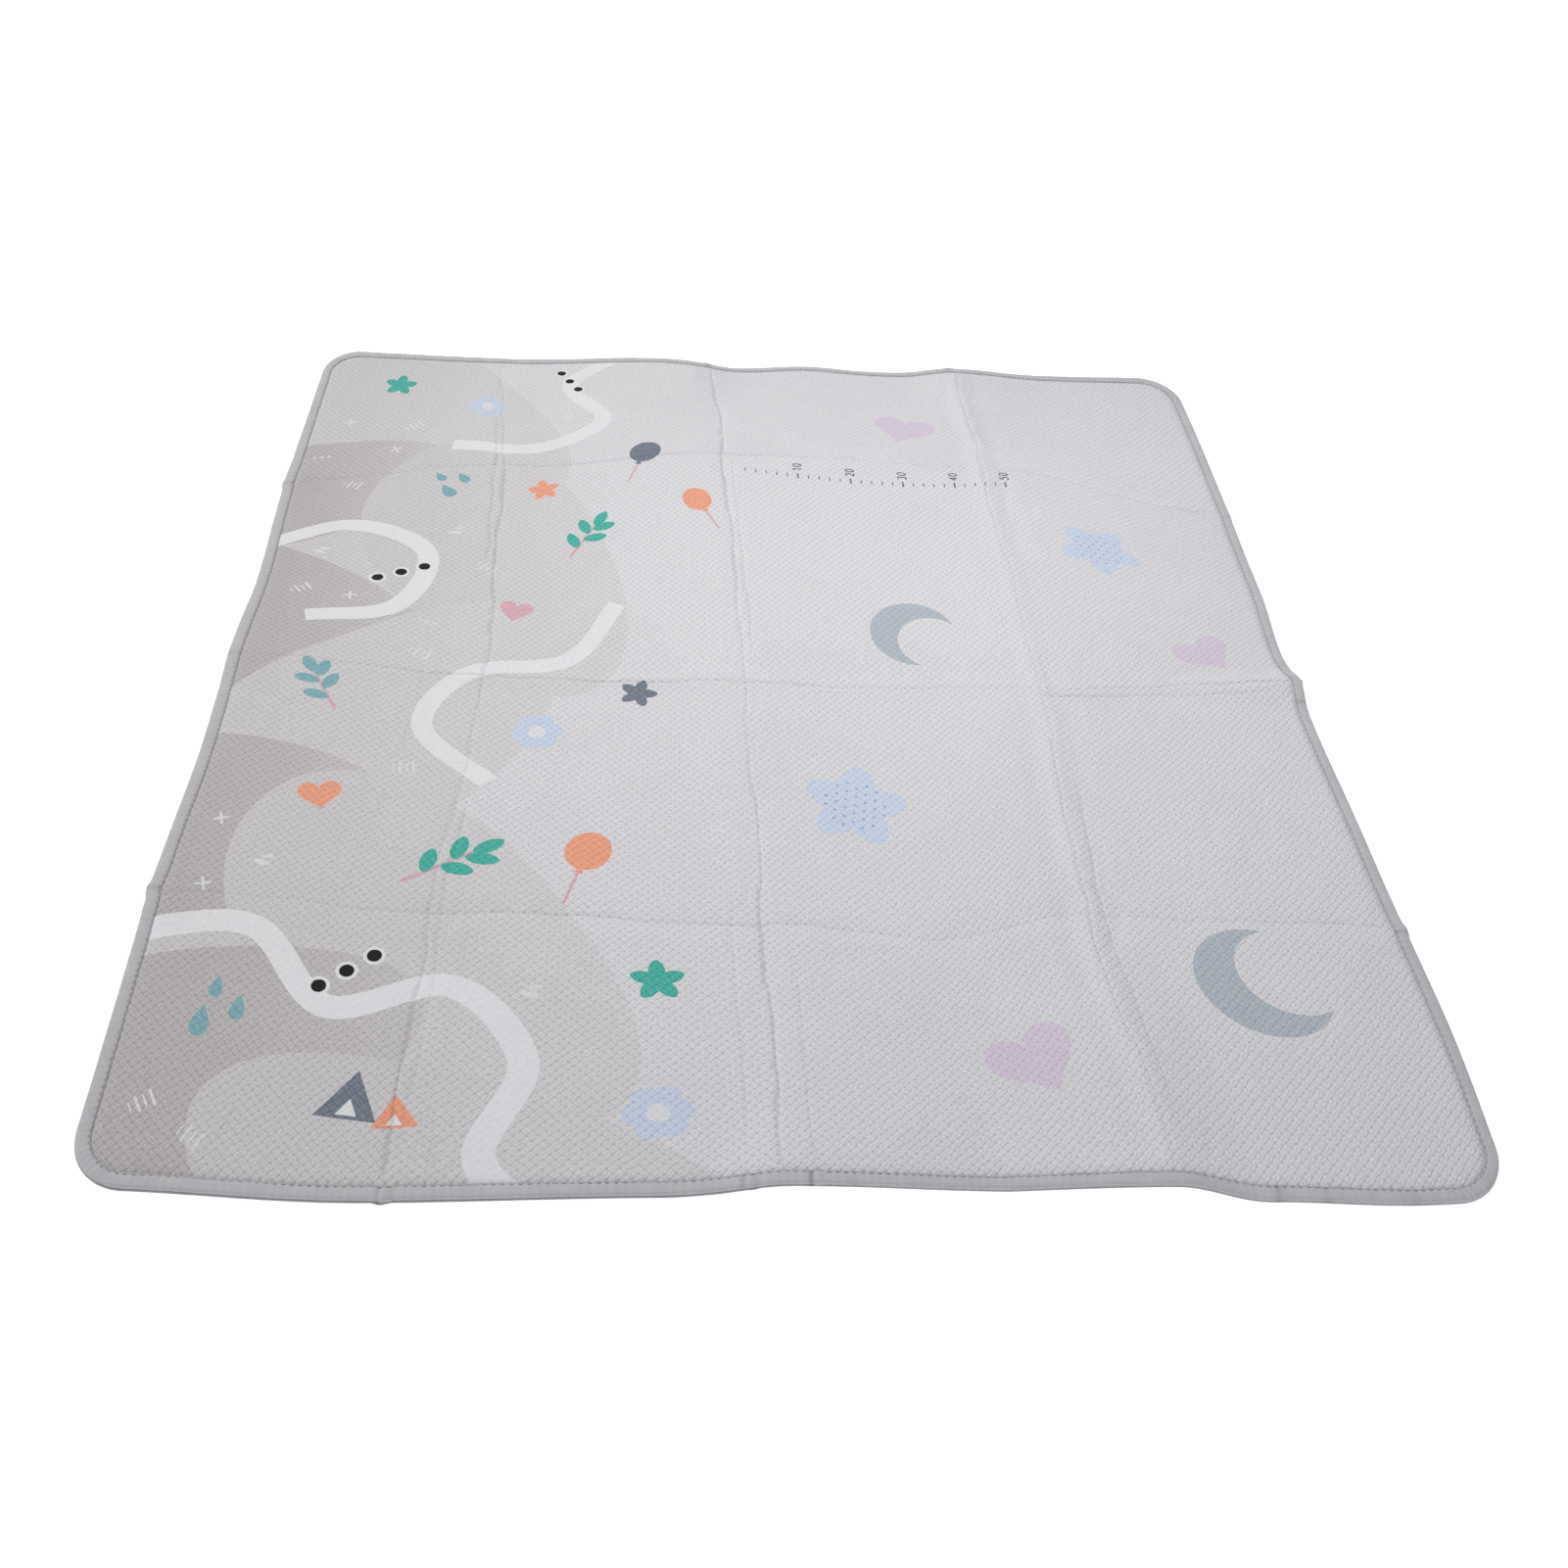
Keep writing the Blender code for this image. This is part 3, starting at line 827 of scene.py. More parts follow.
def lay_dotted_star(page, x, y, size, turn, ink):
    lay(page, star(0.58), x, y, size, turn, ink)
    pitch = size * 0.105
    for row in range(-4, 5):
        for column in range(-4, 5):
            ahead, aside = (column + 0.5 * (row % 2)) * pitch, row * pitch * 0.87
            if math.hypot(ahead, aside) < size * 0.31:
                place = beside(x, y, turn + 12, ahead, aside)
                lay(page, disc(8), *place, pitch * 0.30, 0, ink + " dot")


# Motifs of a single outline, and those that are laid from several
PLAIN_MOTIFS = {"star": star(), "heart": heart(), "moon": crescent()}
BUILT_MOTIFS = {
    "flower": lay_flower,
    "balloon": lay_balloon,
    "sprig": lay_sprig,
    "gable": lay_gable,
    "drops": lay_drops,
    "beads": lay_beads,
    "dotted star": lay_dotted_star,
}


def lay_cross(page, x, y, turn):
    for quarter in (0, 90):
        lay(page, bar(1.0, 0.16), x, y, 0.024, turn + quarter, "fine white")


def lay_dots(page, x, y, turn):
    for ahead in (-0.013, 0.0, 0.013):
        lay(page, disc(8), *beside(x, y, turn, ahead), 0.0065, 0, "fine white")


def lay_dashes(page, x, y, turn):
    for ahead, length in ((-0.016, 0.014), (-0.006, 0.024), (0.004, 0.018), (0.014, 0.026)):
        place = beside(x, y, turn, ahead)
        lay(page, bar(1.0, 0.15), *place, length, turn + 90, "fine white")


def lay_seed(page, x, y, turn):
    lay(page, leaf(0.34, 8), x, y, 0.026, turn, "fine white")
    lay(page, leaf(0.34, 8), *beside(x, y, turn, 0.004, 0.014), 0.020, turn + 24, "fine white")


def lay_confetti(page, taken, tries=900, lean=35):
    """Small white marks strewn over the pebbles, clear of the other motifs."""
    marks = (lay_dashes, lay_cross, lay_seed, lay_dashes, lay_dots)
    shuffle = np.random.default_rng(11)
    places = []
    for _ in range(tries):
        x, y = shuffle.uniform(-0.86, -0.24), shuffle.uniform(-0.95, 0.95)
        clear = all(math.hypot(x - a, y - b) > reach for a, b, reach in taken)
        if clear and all(math.hypot(x - a, y - b) > MARK_SPACING for a, b in places):
            places.append((x, y))
    for number, (x, y) in enumerate(places):
        marks[number % len(marks)](page, x, y, shuffle.uniform(-lean, lean))


def lay_scale(page):
    """A plain measuring scale, whose numbers are turned to be read from the right."""
    last = SCALE_TICKS_TO_NUMBER * len(SCALE_NUMBERS)
    for tick in range(last + 1):
        x = SCALE_START[0] + tick * SCALE_TICK
        y = SCALE_START[1] - SCALE_SAG * math.sin(math.pi * tick / last)
        numbered = tick > 0 and tick % SCALE_TICKS_TO_NUMBER == 0
        length = SCALE_LONG_TICK if numbered else SCALE_SHORT_TICK
        lay(page, bar(1.0, 0.20), x, y, length, 90, "mark")
        word = SCALE_NUMBERS[tick // SCALE_TICKS_TO_NUMBER - 1] if numbered else ""
        for place, digit in enumerate(word):
            up = y + SCALE_NUMBER_RISE + SCALE_DIGIT_PITCH * place
            for stroke in DIGITS[digit]:
                lay(page, ribbon(stroke, 0.15, 3), x, up, SCALE_DIGIT, 90, "mark")


def design():
    """The whole print, as a list of outlines in the order that they are laid on."""
    page = []
    for x, y, size, flatness, turn, deep, pale, span in PEBBLES:
        deep_x = max(-MAT_WIDTH / 2, x - size * 0.5 * span)
        lay(page, pebble(flatness), x, y, size, turn, deep, (pale, deep_x, deep_x + size * span))
    for width, points in BANDS:
        lay(page, ribbon(points, width), 0, 0, 1, 0, "white")
    taken = [(x, y, CLEAR_OF_MOTIF + size) for _, x, y, size, _, _ in MOTIFS]
    taken += [(*point, CLEAR_OF_BAND) for _, points in BANDS for point in smooth_path(points, 4)]
    lay_confetti(page, taken)
    for kind, *where_and_ink in MOTIFS:
        if kind in PLAIN_MOTIFS:
            lay(page, PLAIN_MOTIFS[kind], *where_and_ink)
        else:
            BUILT_MOTIFS[kind](page, *where_and_ink)
    lay_scale(page)
    return page


def within(outline, x, y):
    """Which places lie inside a closed outline."""
    inside = np.zeros(len(x), bool)
    for (ax, ay), (bx, by) in zip(outline, np.roll(outline, -1, axis=0)):
        if ay != by:
            crosses = (ay > y) != (by > y)
            inside ^= crosses & (x < (bx - ax) * (y - ay) / (by - ay) + ax)
    return inside


def joined(loops):
    """Numbered points and edges of closed loops and open lines, for the triangulation."""
    points, edges = [], []
    for line, closed in loops:
        first = len(points)
        points += [tuple(point) for point in line]
        edges += [(first + step, first + step + 1) for step in range(len(line) - 1)]
        if closed:
            edges.append((first + len(line) - 1, first))
    return points, edges


def crease_lines(reach_in):
    """The fold lines on the plan: each a middle line and one on either side."""
    for _, lengthwise, place, start, end, _, _, phase in CREASES:
        half = (MAT_LENGTH if lengthwise else MAT_WIDTH) / 2 - reach_in
        start, end = max(start, -half), min(end, half)
        along = np.linspace(start, end, round((end - start) / LATTICE))
        for side in (-CREASE_SIDE, 0.0, CREASE_SIDE):
            across = place + side + crease_shift(along, phase)
            pair = (across, along) if lengthwise else (along, across)
            yield np.stack(pair, axis=1), False


def lattice_points():
    """The weave's block corners and middles on the plan, clear of the fold lines."""
    count_x = int(MAT_WIDTH / 2 / LATTICE)
    count_y = int(MAT_LENGTH / 2 / LATTICE)
    column, row = np.meshgrid(np.arange(-count_x, count_x + 1), np.arange(-count_y, count_y + 1))
    x, y = column.ravel() * LATTICE, row.ravel() * LATTICE
    keep = inset_of(x, y) > TAPE_WIDTH + CLEAR_OF_TAPE
    for _, lengthwise, place, start, end, _, _, phase in CREASES:
        across, along = (x, y) if lengthwise else (y, x)
        away = np.abs(across - place - crease_shift(along, phase))
        keep &= (away > CREASE_SIDE + CLEAR_OF_CREASE) | (along < start) | (along > end)
    return np.stack([x, y], axis=1)[keep]


def checker_at(x, y):
    """The blocks' relief: 1 at a block's middle, -1 at its corners."""
    return -np.cos(np.pi * x / LATTICE) * np.cos(np.pi * y / LATTICE)


def triangulated(lines, loose_points):
    """A sheet on the plan through closed loops, open lines and loose points, within the rim."""
    points, edges = joined(lines)
    points += [tuple(point) for point in loose_points]
    result = delaunay_2d_cdt([Vector(point) for point in points], edges, [], 0, 1e-6, False)
    places, faces = np.array([tuple(v) for v in result[0]]), np.array(result[2])
    centres = places[faces].mean(axis=1)
    faces = faces[inset_of(*centres.T) > RIM_INSET]
    used = np.unique(faces)
    number = np.zeros(len(places), int)
    number[used] = np.arange(len(used))
    return places[used], number[faces]


def top_sheet(shapes, stations, fine_stations):
    """The printed face, triangulated on the plan with the print's outlines in it."""
    lines = [(ring_at(stations, inset), True) for inset in (RIM_INSET, TAPE_WIDTH - 0.004)]
    lines += [(ring_at(fine_stations, TAPE_WIDTH + inwards), True) for inwards in SEAM_RINGS]
    lines += list(crease_lines(TAPE_WIDTH + SEAM_RINGS[-1]))
    lines += [(outline, True) for outline, _, _ in shapes]
    return triangulated(lines, lattice_points())


def bottom_sheet(stations):
    """The backing, triangulated on the plan with an even spread of points."""
    lines = [(ring_at(stations, RIM_INSET), True),
             (ring_at(stations[::2], TAPE_WIDTH + 0.001), True)]
    x, y = [side.ravel() for side in np.meshgrid(
        np.arange(-MAT_WIDTH / 2, MAT_WIDTH / 2, BACKING_STEP),
        np.arange(-MAT_LENGTH / 2, MAT_LENGTH / 2, BACKING_STEP), indexing="ij")]
    inner = inset_of(x, y) > BACKING_STEP
    return triangulated(lines, np.stack([x, y], axis=1)[inner])


def rim_order(places, stations):
    """The numbers of the points that a sheet has at the stations of its outer ring."""
    return [int(np.argmin(((places - spot) ** 2).sum(axis=1)))
            for spot in ring_at(stations, RIM_INSET)]


def print_colours(corners, shapes):
    """The colour at each face's corners: that of the last shape printed over the face."""
    inks = {name: np.array(hex_to_linear(code) + [fill]) for name, (code, fill) in INKS.items()}
    centres = corners.mean(axis=1)
    colours = np.tile(inks["ground"], (len(corners), 3, 1))
    for outline, ink, paler in shapes:
        low, high = outline.min(axis=0), outline.max(axis=0)
        near = np.flatnonzero(((centres >= low) & (centres <= high)).all(axis=1))
        covered = near[within(outline, *centres[near].T)]
        if paler is None:
            colours[covered] = inks[ink]
        else:
            other, start, end = paler
            share = eased((corners[covered, :, 0:1] - start) / (end - start))
            colours[covered] = inks[ink] * share + inks[other] * (1 - share)
    return colours


def face_normals(places, middle):
    """The printed face's true slope at each point, which thin triangles would blur."""
    step = 0.0007
    sides = []
    for move_x, move_y in ((step, 0.0), (-step, 0.0), (0.0, step), (0.0, -step)):
        x, y = places[:, 0] + move_x, places[:, 1] + move_y
        flat = np.zeros(len(x))
        sides.append(drawn(x, y, top_height(x, y, inset_of(x, y), flat), middle))
    normals = np.cross(sides[0] - sides[1], sides[2] - sides[3])
    return normals / np.linalg.norm(normals, axis=1)[:, None]


def rim_sides(upper, lower):
    """The faces that close the mat's side, between the outer rings of its two sheets."""
    sides = []
    for step in range(len(upper)):
        after = (step + 1) % len(upper)
        sides.append((lower[step], lower[after], upper[after]))
        sides.append((lower[step], upper[after], upper[step]))
    return np.array(sides)


def cover_painted_shade(x, y, inset):
    """How much shade is painted on the cover: along its fold lines and beside its seam."""
    beside_seam = eased((inset - TAPE_WIDTH) / SEAM_RINGS[1])
    return np.maximum(crease_painted_shade(x, y), beside_seam * 0.7 * at_stitches(walk_of(x, y)))


def make_cover(middle):
    """The mat's padded body: printed face, pressed rim and backing, one closed mesh."""
    shapes = design()
    stations = rim_stations(RIM_STEP)
    top_places, top_faces = top_sheet(shapes, stations, rim_stations(STITCH_PITCH / 2))
    low_places, low_faces = bottom_sheet(stations)
    plan = np.concatenate([top_places, low_places])

    top_inset = inset_of(*top_places.T)
    checker = checker_at(*top_places.T)
    top = drawn(*top_places.T, top_height(*top_places.T, top_inset, checker), middle)
    low_rim = inset_of(*low_places.T) < UNDER_TAPE
    low = drawn(*low_places.T, lift(*low_places.T) + RIM_BOTTOM * low_rim, middle)

    count = len(top)
    lower_rim = [number + count for number in rim_order(low_places, stations)]
    sides = rim_sides(rim_order(top_places, stations), lower_rim)
    faces = np.concatenate([top_faces, low_faces[:, ::-1] + count, sides])
    is_backing = np.arange(len(faces)) >= len(top_faces)
    colours = np.full((len(faces), 3, 4), 0.5)
    colours[:len(top_faces)] = print_colours(top_places[top_faces], shapes)
    # Painted shade on the printed face, along its fold lines and beside its seam, kept on the
    # mesh's points
    painted_shade = np.zeros(len(plan))
    painted_shade[:count] = cover_painted_shade(*top_places.T, top_inset)

    mesh = bpy.data.meshes.new("mat_cover")
    mesh.from_pydata(np.concatenate([top, low]).tolist(), [], faces.tolist())
    corners = np.empty(len(mesh.loops), int)
    mesh.loops.foreach_get("vertex_index", corners)
    mesh.uv_layers.new(name="cloth").data.foreach_set("uv", plan[corners].ravel())
    layer = mesh.color_attributes.new("print", "FLOAT_COLOR", "CORNER")
    layer.data.foreach_set("color", colours.ravel())
    mesh.attributes.new("painted_shade", "FLOAT", "POINT").data.foreach_set("value", painted_shade)
    mesh.polygons.foreach_set("material_index", is_backing.astype(int))
    cover = finished("mat_cover", mesh)

    normals = np.array([tuple(entry.vector) for entry in mesh.vertex_normals])
    open_face = np.flatnonzero(top_inset > OPEN_FACE)
    normals[open_face] = face_normals(top_places[open_face], middle)
    mesh.normals_split_custom_set_from_vertices(normals.tolist())
    return cover


def in_scene(name, data):
    """A new object of some data, linked to the scene."""
    piece = bpy.data.objects.new(name, data)
    bpy.context.scene.collection.objects.link(piece)
    return piece


def finished(name, mesh):
    """An object of a finished mesh, without loose points and with its faces outwards."""
    work = bmesh.new()
    work.from_mesh(mesh)
    loose = [vertex for vertex in work.verts if not vertex.link_faces]
    bmesh.ops.delete(work, geom=loose, context="VERTS")
    bmesh.ops.recalc_face_normals(work, faces=work.faces)
    work.to_mesh(mesh)
    work.free()
    mesh.shade_smooth()
    return in_scene(name, mesh)


def tape_folds(x, y):
    """How deep the narrow folds across the tape are."""
    fold = np.zeros(len(x))
    for side, place, half_width, depth in TAPE_FOLDS:
        facing, along = on_side(side, x, y)
        fold += depth * facing * np.exp(-(((along - place) / half_width) ** 2))
    return fold


def tape_unevenness(x, y, walk):
    """How much the tape's outside dips at its folds and rises at its lap and in its corners."""
    side, place, half_width, thickness = TAPE_LAP
    facing, along = on_side(side, x, y)
    change = thickness * facing * (np.abs(along - place) < half_width) - tape_folds(x, y)
    bent = np.abs(x) > MAT_WIDTH / 2 - CORNER_RADIUS
    bent &= np.abs(y) > MAT_LENGTH / 2 - CORNER_RADIUS
    height, pitch = GATHERS
    change += height * bent * np.sin(2 * np.pi * walk / pitch)
    for height, fast, slow, phase in TAPE_WAVES:
        change += height * np.sin(walk * fast) * np.sin(walk * slow + phase)
    return change


def tape_painted_shade(x, y, dimple):
    """How much shade is painted on the tape in its folds and at its stitches."""
    return np.clip(STITCH_PAINTED_SHADE * dimple + FOLD_PAINTED_SHADE * tape_folds(x, y), 0.0, 1.0)


def lip_gap(x, y, walk):
    """How deep the gap above the tape's lower lip is, from place to place."""
    least, swing, deeper = LIP_GAP
    near_left = (y < -0.9) * eased((x + 0.20) / 0.30)
    return least + deeper * near_left + swing * (0.5 + 0.5 * np.sin(walk * 7.0))


def tape_ring(stations, point, dimple, uneven, gap, middle):
    """Where one point of the tape's section lies, all the way round the mat."""
    inset, height, pull, drawn_in = point
    on_top = height > TAPE_SHOULDER
    on_outer_side = not on_top and inset < TAPE_SIDE_INSET and height > TAPE_SIDE_FROM
    sideways = inset + drawn_in * gap - 0.5 * on_outer_side * uneven
    if on_top and inset == TAPE_WIDTH:
        wander, rate = TAPE_EDGE_WANDER
        walk = walk_of(*ring_at(stations, 0.0).T)
        sideways += TAPE_SCALLOP * (dimple - 0.5) + wander * np.sin(walk * rate)
    places = stations[:, :2] - stations[:, 2:] * sideways[:, None]
    rise = height - TAPE_DIMPLE * pull * dimple + on_top * uneven
    return drawn(*places.T, rise + lift(*places.T), middle)


def make_binding(middle):
    """The tape round the edge, folded over it, with a small dimple at each stitch."""
    stations = rim_stations(STITCH_PITCH / 4)
    edge_x, edge_y = ring_at(stations, 0.0).T
    walk = walk_of(edge_x, edge_y)
    dimple = at_stitches(walk)
    uneven = tape_unevenness(edge_x, edge_y, walk)
    gap = lip_gap(edge_x, edge_y, walk)
    points = np.stack([
        tape_ring(stations, point, dimple, uneven, gap, middle) for point in TAPE_SECTION
    ], axis=1)
    count, around = len(stations), len(TAPE_SECTION)
    widths = [math.dist(a[:2], b[:2]) for a, b in zip(TAPE_SECTION, TAPE_SECTION[1:])]
    across = np.concatenate([[0.0], np.cumsum(widths + [0.0010])])
    length = 2 * (MAT_WIDTH + MAT_LENGTH) - (8 - 2 * math.pi) * CORNER_RADIUS
    faces, spots = [], []
    for step in range(count):
        here, there = step * around, ((step + 1) % count) * around
        start, end = walk[step], walk[(step + 1) % count] + (length if step == count - 1 else 0)
        for corner in range(around):
            after = (corner + 1) % around
            faces.append((here + corner, here + after, there + after, there + corner))
            spots += [(start, across[corner]), (start, across[corner + 1]),
                      (end, across[corner + 1]), (end, across[corner])]
    mesh = bpy.data.meshes.new("binding_tape")
    mesh.from_pydata(points.reshape(-1, 3).tolist(), [], faces)
    mesh.uv_layers.new(name="cloth").data.foreach_set("uv", np.array(spots).ravel())
    # Painted shade on the tape: in its folds, at its stitches, at its sewn edge and under its fold
    painted_shade = np.repeat(tape_painted_shade(edge_x, edge_y, dimple), around)
    for corner, darker in TAPE_PAINTED_SHADE:
        painted_shade[corner::around] += darker
    mesh.attributes.new("painted_shade", "FLOAT", "POINT").data.foreach_set("value", painted_shade)
    return finished("binding_tape", mesh)


def stitch_tree():
    """Geometry nodes that set short stitches along a path, one at each point of it."""
    tree = bpy.data.node_groups.new("stitches along a seam", "GeometryNodeTree")
    sockets = tree.interface
    sockets.new_socket("Geometry", in_out="OUTPUT", socket_type="NodeSocketGeometry")
    for name, kind in (("Geometry", "Geometry"), ("Stitch length", "Float"),
                       ("Thread width", "Float"), ("Pitch", "Float"), ("Thread", "Material")):
        sockets.new_socket(name, in_out="INPUT", socket_type="NodeSocket" + kind)
    given = add_node(tree, "NodeGroupInput").outputs
    spaced = add_node(tree, "GeometryNodeResampleCurve", {"mode": "LENGTH"}, {
        "Curve": given["Geometry"], "Length": given["Pitch"]})
    tangent = add_node(tree, "GeometryNodeInputTangent")
    turn = add_node(tree, "FunctionNodeAlignRotationToVector", {"axis": "X"}, {
        "Vector": tangent.outputs["Tangent"]})
    bead = add_node(tree, "GeometryNodeMeshUVSphere", {}, {
        "Segments": 6, "Rings": 4, "Radius": 0.5})
    size = add_node(tree, "ShaderNodeCombineXYZ", {}, {
        "X": given["Stitch length"], "Y": given["Thread width"], "Z": given["Thread width"]})
    placed = add_node(tree, "GeometryNodeInstanceOnPoints", {}, {
        "Points": spaced.outputs["Curve"], "Instance": bead.outputs["Mesh"],
        "Rotation": turn.outputs["Rotation"], "Scale": size.outputs["Vector"]})
    stitches = placed.outputs["Instances"]
    for kind in ("GeometryNodeRealizeInstances", "GeometryNodeSetShadeSmooth"):
        stitches = add_node(tree, kind, {}, {"Geometry": stitches}).outputs["Geometry"]
    dressed = add_node(tree, "GeometryNodeSetMaterial", {}, {
        "Geometry": stitches, "Material": given["Thread"]})
    add_node(tree, "NodeGroupOutput", {}, {"Geometry": dressed.outputs["Geometry"]})
    return tree


def make_stitches(name, middle, height, thread):
    """One seam of stitches near the tape's inner edge, at a height over where the mat lies."""
    stations = rim_stations(STITCH_PITCH / 2)
    x, y = ring_at(stations, STITCH_INSET).T
    path = drawn(x, y, height + lift(x, y), middle)
    curve = bpy.data.curves.new(name + "_path", "CURVE")
    curve.dimensions = "3D"
    spline = curve.splines.new("POLY")
    spline.points.add(len(path) - 1)
    for point, place in zip(spline.points, path):
        point.co = (*place, 1.0)
    spline.use_cyclic_u = True
    guide = in_scene(name + "_path", curve)
    modifier = guide.modifiers.new("stitches", "NODES")
    modifier.node_group = stitch_tree()
    wanted = {"Stitch length": STITCH_LENGTH, "Thread width": THREAD_WIDTH,
              "Pitch": STITCH_PITCH, "Thread": thread}
    for item in modifier.node_group.interface.items_tree:
        if item.in_out == "INPUT" and item.name in wanted:
            modifier[item.identifier] = wanted[item.name]
    bpy.context.view_layer.update()
    shown = guide.evaluated_get(bpy.context.evaluated_depsgraph_get())
    mesh = bpy.data.meshes.new_from_object(shown)
    mesh.name = name
    bpy.data.objects.remove(guide, do_unlink=True)
    return in_scene(name, mesh)


def add_node(tree, kind, settings=None, inputs=None):
    """Adds a node, sets its settings, and fills or links its inputs."""
    node = tree.nodes.new(kind)
    for name, value in (settings or {}).items():
        setattr(node, name, value)
    for name, value in (inputs or {}).items():
        socket = node.inputs[name]
        value = value.socket if isinstance(value, Amount) else value
        if isinstance(value, bpy.types.NodeSocket):
            tree.links.new(value, socket)
        else:
            socket.default_value = value
    return node


def new_material(name, constants):
    """A material with a Principled shader whose own sockets hold the constants."""
    material = bpy.data.materials.new(name)
    material.use_nodes = True
    tree = material.node_tree
    shader = tree.nodes["Principled BSDF"]
    for socket, value in constants.items():
        shader.inputs[socket].default_value = value
    return material, tree, shader


def calc(tree, operation, first, second=0.0):
    """One sum on two numbers or amounts."""
    node = add_node(tree, "ShaderNodeMath", {"operation": operation}, {0: first, 1: second})
    return Amount(tree, node.outputs[0])


class Amount:
    """A number that shader nodes work out, so that their sums read as sums."""

    def __init__(self, tree, socket):
        self.tree = tree
        self.socket = socket

    def by(self, operation, other=0.0):
        return calc(self.tree, operation, self, other)

    def __add__(self, other):
        return self.by("ADD", other)

    def __sub__(self, other):
        return self.by("SUBTRACT", other)

    def __rsub__(self, other):
        return calc(self.tree, "SUBTRACT", other, self)

    def __mul__(self, other):
        return self.by("MULTIPLY", other)

    def __pow__(self, other):
        return self.by("POWER", other)


def cloth_plan(tree):
    """The cloth's own plan coordinates."""
    return add_node(tree, "ShaderNodeUVMap", {"uv_map": "cloth"}).outputs["UV"]


def plan_axes(tree, plan):
    split = add_node(tree, "ShaderNodeSeparateXYZ", {}, {"Vector": plan})
    return Amount(tree, split.outputs["X"]), Amount(tree, split.outputs["Y"])


def noise(tree, plan, scale, detail=0.0, roughness=0.5):
    node = add_node(tree, "ShaderNodeTexNoise", {}, {
        "Vector": plan, "Scale": scale, "Detail": detail, "Roughness": roughness})
    return Amount(tree, node.outputs["Fac"])


def painted_shade_share(tree):
    """How much shade is painted on the cloth, from its mesh."""
    node = add_node(tree, "ShaderNodeAttribute", {"attribute_name": "painted_shade"})
    return Amount(tree, node.outputs["Fac"])


def mixed(tree, share, colour, other):
    """A colour that runs to another one with a share, each a socket or an sRGB hex colour."""
    ends = [(*hex_to_linear(end), 1.0) if isinstance(end, str) else end for end in (colour, other)]
    return add_node(tree, "ShaderNodeMix", {"data_type": "RGBA"}, {
        0: share, 6: ends[0], 7: ends[1]}).outputs[2]


def scaled(tree, colour, tone):
    return add_node(tree, "ShaderNodeVectorMath", {"operation": "SCALE"}, {
        0: colour, "Scale": tone}).outputs[0]


def dress(tree, shader, colour, height=None, strength=1.0, distance=0.001):
    """Gives a shader its colour and the bump of a height."""
    tree.links.new(colour, shader.inputs["Base Color"])
    if height is not None:
        bump = add_node(tree, "ShaderNodeBump", {}, {
            "Height": height, "Strength": strength, "Distance": distance})
        tree.links.new(bump.outputs["Normal"], shader.inputs["Normal"])


def weave(tree, plan):
    """The weave from the plan coordinates: its blocks' domes, corner holes and strands."""
    x, y = plan_axes(tree, plan)
    per_block = 1.0 / (BLOCK * math.sqrt(2.0))
    rising = (x + y) * per_block
    falling = (y - x) * per_block
    parity = (rising.by("FLOOR") + falling.by("FLOOR")).by("PINGPONG", 1.0)

    def pair_of_strands(along, across):
        side = (across * (2.0 * math.pi)).by("SINE").by("ABSOLUTE")
        ends = (along * math.pi).by("SINE").by("ABSOLUTE")
        return side ** 0.8 * ends ** 0.6

    whole = 2.0 * math.pi
    corner = ((rising * whole).by("COSINE") + (falling * whole).by("COSINE")) * 0.5
    hole = corner.by("MAXIMUM", 0.0) ** 2.5
    strands = add_node(tree, "ShaderNodeMix", {"data_type": "FLOAT"}, {
        0: parity, 2: pair_of_strands(rising, falling), 3: pair_of_strands(falling, rising)})
    return corner * -1.0, hole, Amount(tree, strands.outputs[0])


def cover_cloth():
    """Printed polyester cover, embossed like a basket weave: matt, soft, with painted shade in its
    pinholes.
    """
    material, tree, shader = new_material("printed embossed polyester cover", {
        "Roughness": 0.80, "Sheen Weight": 0.04, "Sheen Roughness": 0.5,
        "Specular IOR Level": 0.28})
    plan = cloth_plan(tree)
    printed = add_node(tree, "ShaderNodeVertexColor", {"layer_name": "print"})
    drift = add_node(tree, "ShaderNodeTexNoise", {}, {
        "Vector": plan, "Scale": 80.0, "Detail": 0.0}).outputs["Color"]
    uneven_plan = add_node(tree, "ShaderNodeVectorMath", {"operation": "MULTIPLY_ADD"}, {
        0: drift, 1: (0.0042, 0.0042, 0.0), 2: plan}).outputs[0]
    dome, hole, strands = weave(tree, uneven_plan)
    fuzz = noise(tree, plan, 620.0)
    lumps = noise(tree, plan, 140.0, 1.0, 0.6)
    blotch = noise(tree, plan, 9.0, 1.0, 0.55)
    unfilled = 1.0 - Amount(tree, printed.outputs["Alpha"]) * 0.8
    uneven_hole = hole * (lumps + 0.35)

    # Colour: pale flecks on the strands, painted shade in the holes and gaps, along the pressed
    # lines and beside the seam, soft mottling
    fleck = mixed(tree, strands * lumps * (unfilled * 0.30), printed.outputs["Color"], "#D8D8DA")
    gap = (1.0 - strands) ** 2.0
    shade_painted_on_cover = unfilled * (uneven_hole * 0.22 + gap * 0.09) + painted_shade_share(tree) * 0.30
    mottle = (blotch - 0.5) * 0.05 + (lumps - 0.5) * 0.10
    # Relief in millimetres: the blocks' domes, strands and holes, then fuzz and lumps over them
    woven = dome * 0.17 + (strands * 0.56 - uneven_hole * 0.25)
    relief = woven * unfilled + (fuzz * 0.18 + lumps * 1.10)
    dress(tree, shader, scaled(tree, fleck, 1.0 - shade_painted_on_cover + mottle), relief, 1.0, 0.0010)
    return material


def backing_cloth():
    """Plain brushed backing cloth: matt pale grey with a fine grain."""
    material, tree, shader = new_material("plain brushed backing cloth", {
        "Roughness": 0.88, "Sheen Weight": 0.15})
    fuzz = noise(tree, cloth_plan(tree), 420.0, 3.0, 0.6)
    dress(tree, shader, mixed(tree, fuzz, "#C2C3C6", "#D2D3D5"), fuzz, 0.4, 0.0008)
    return material


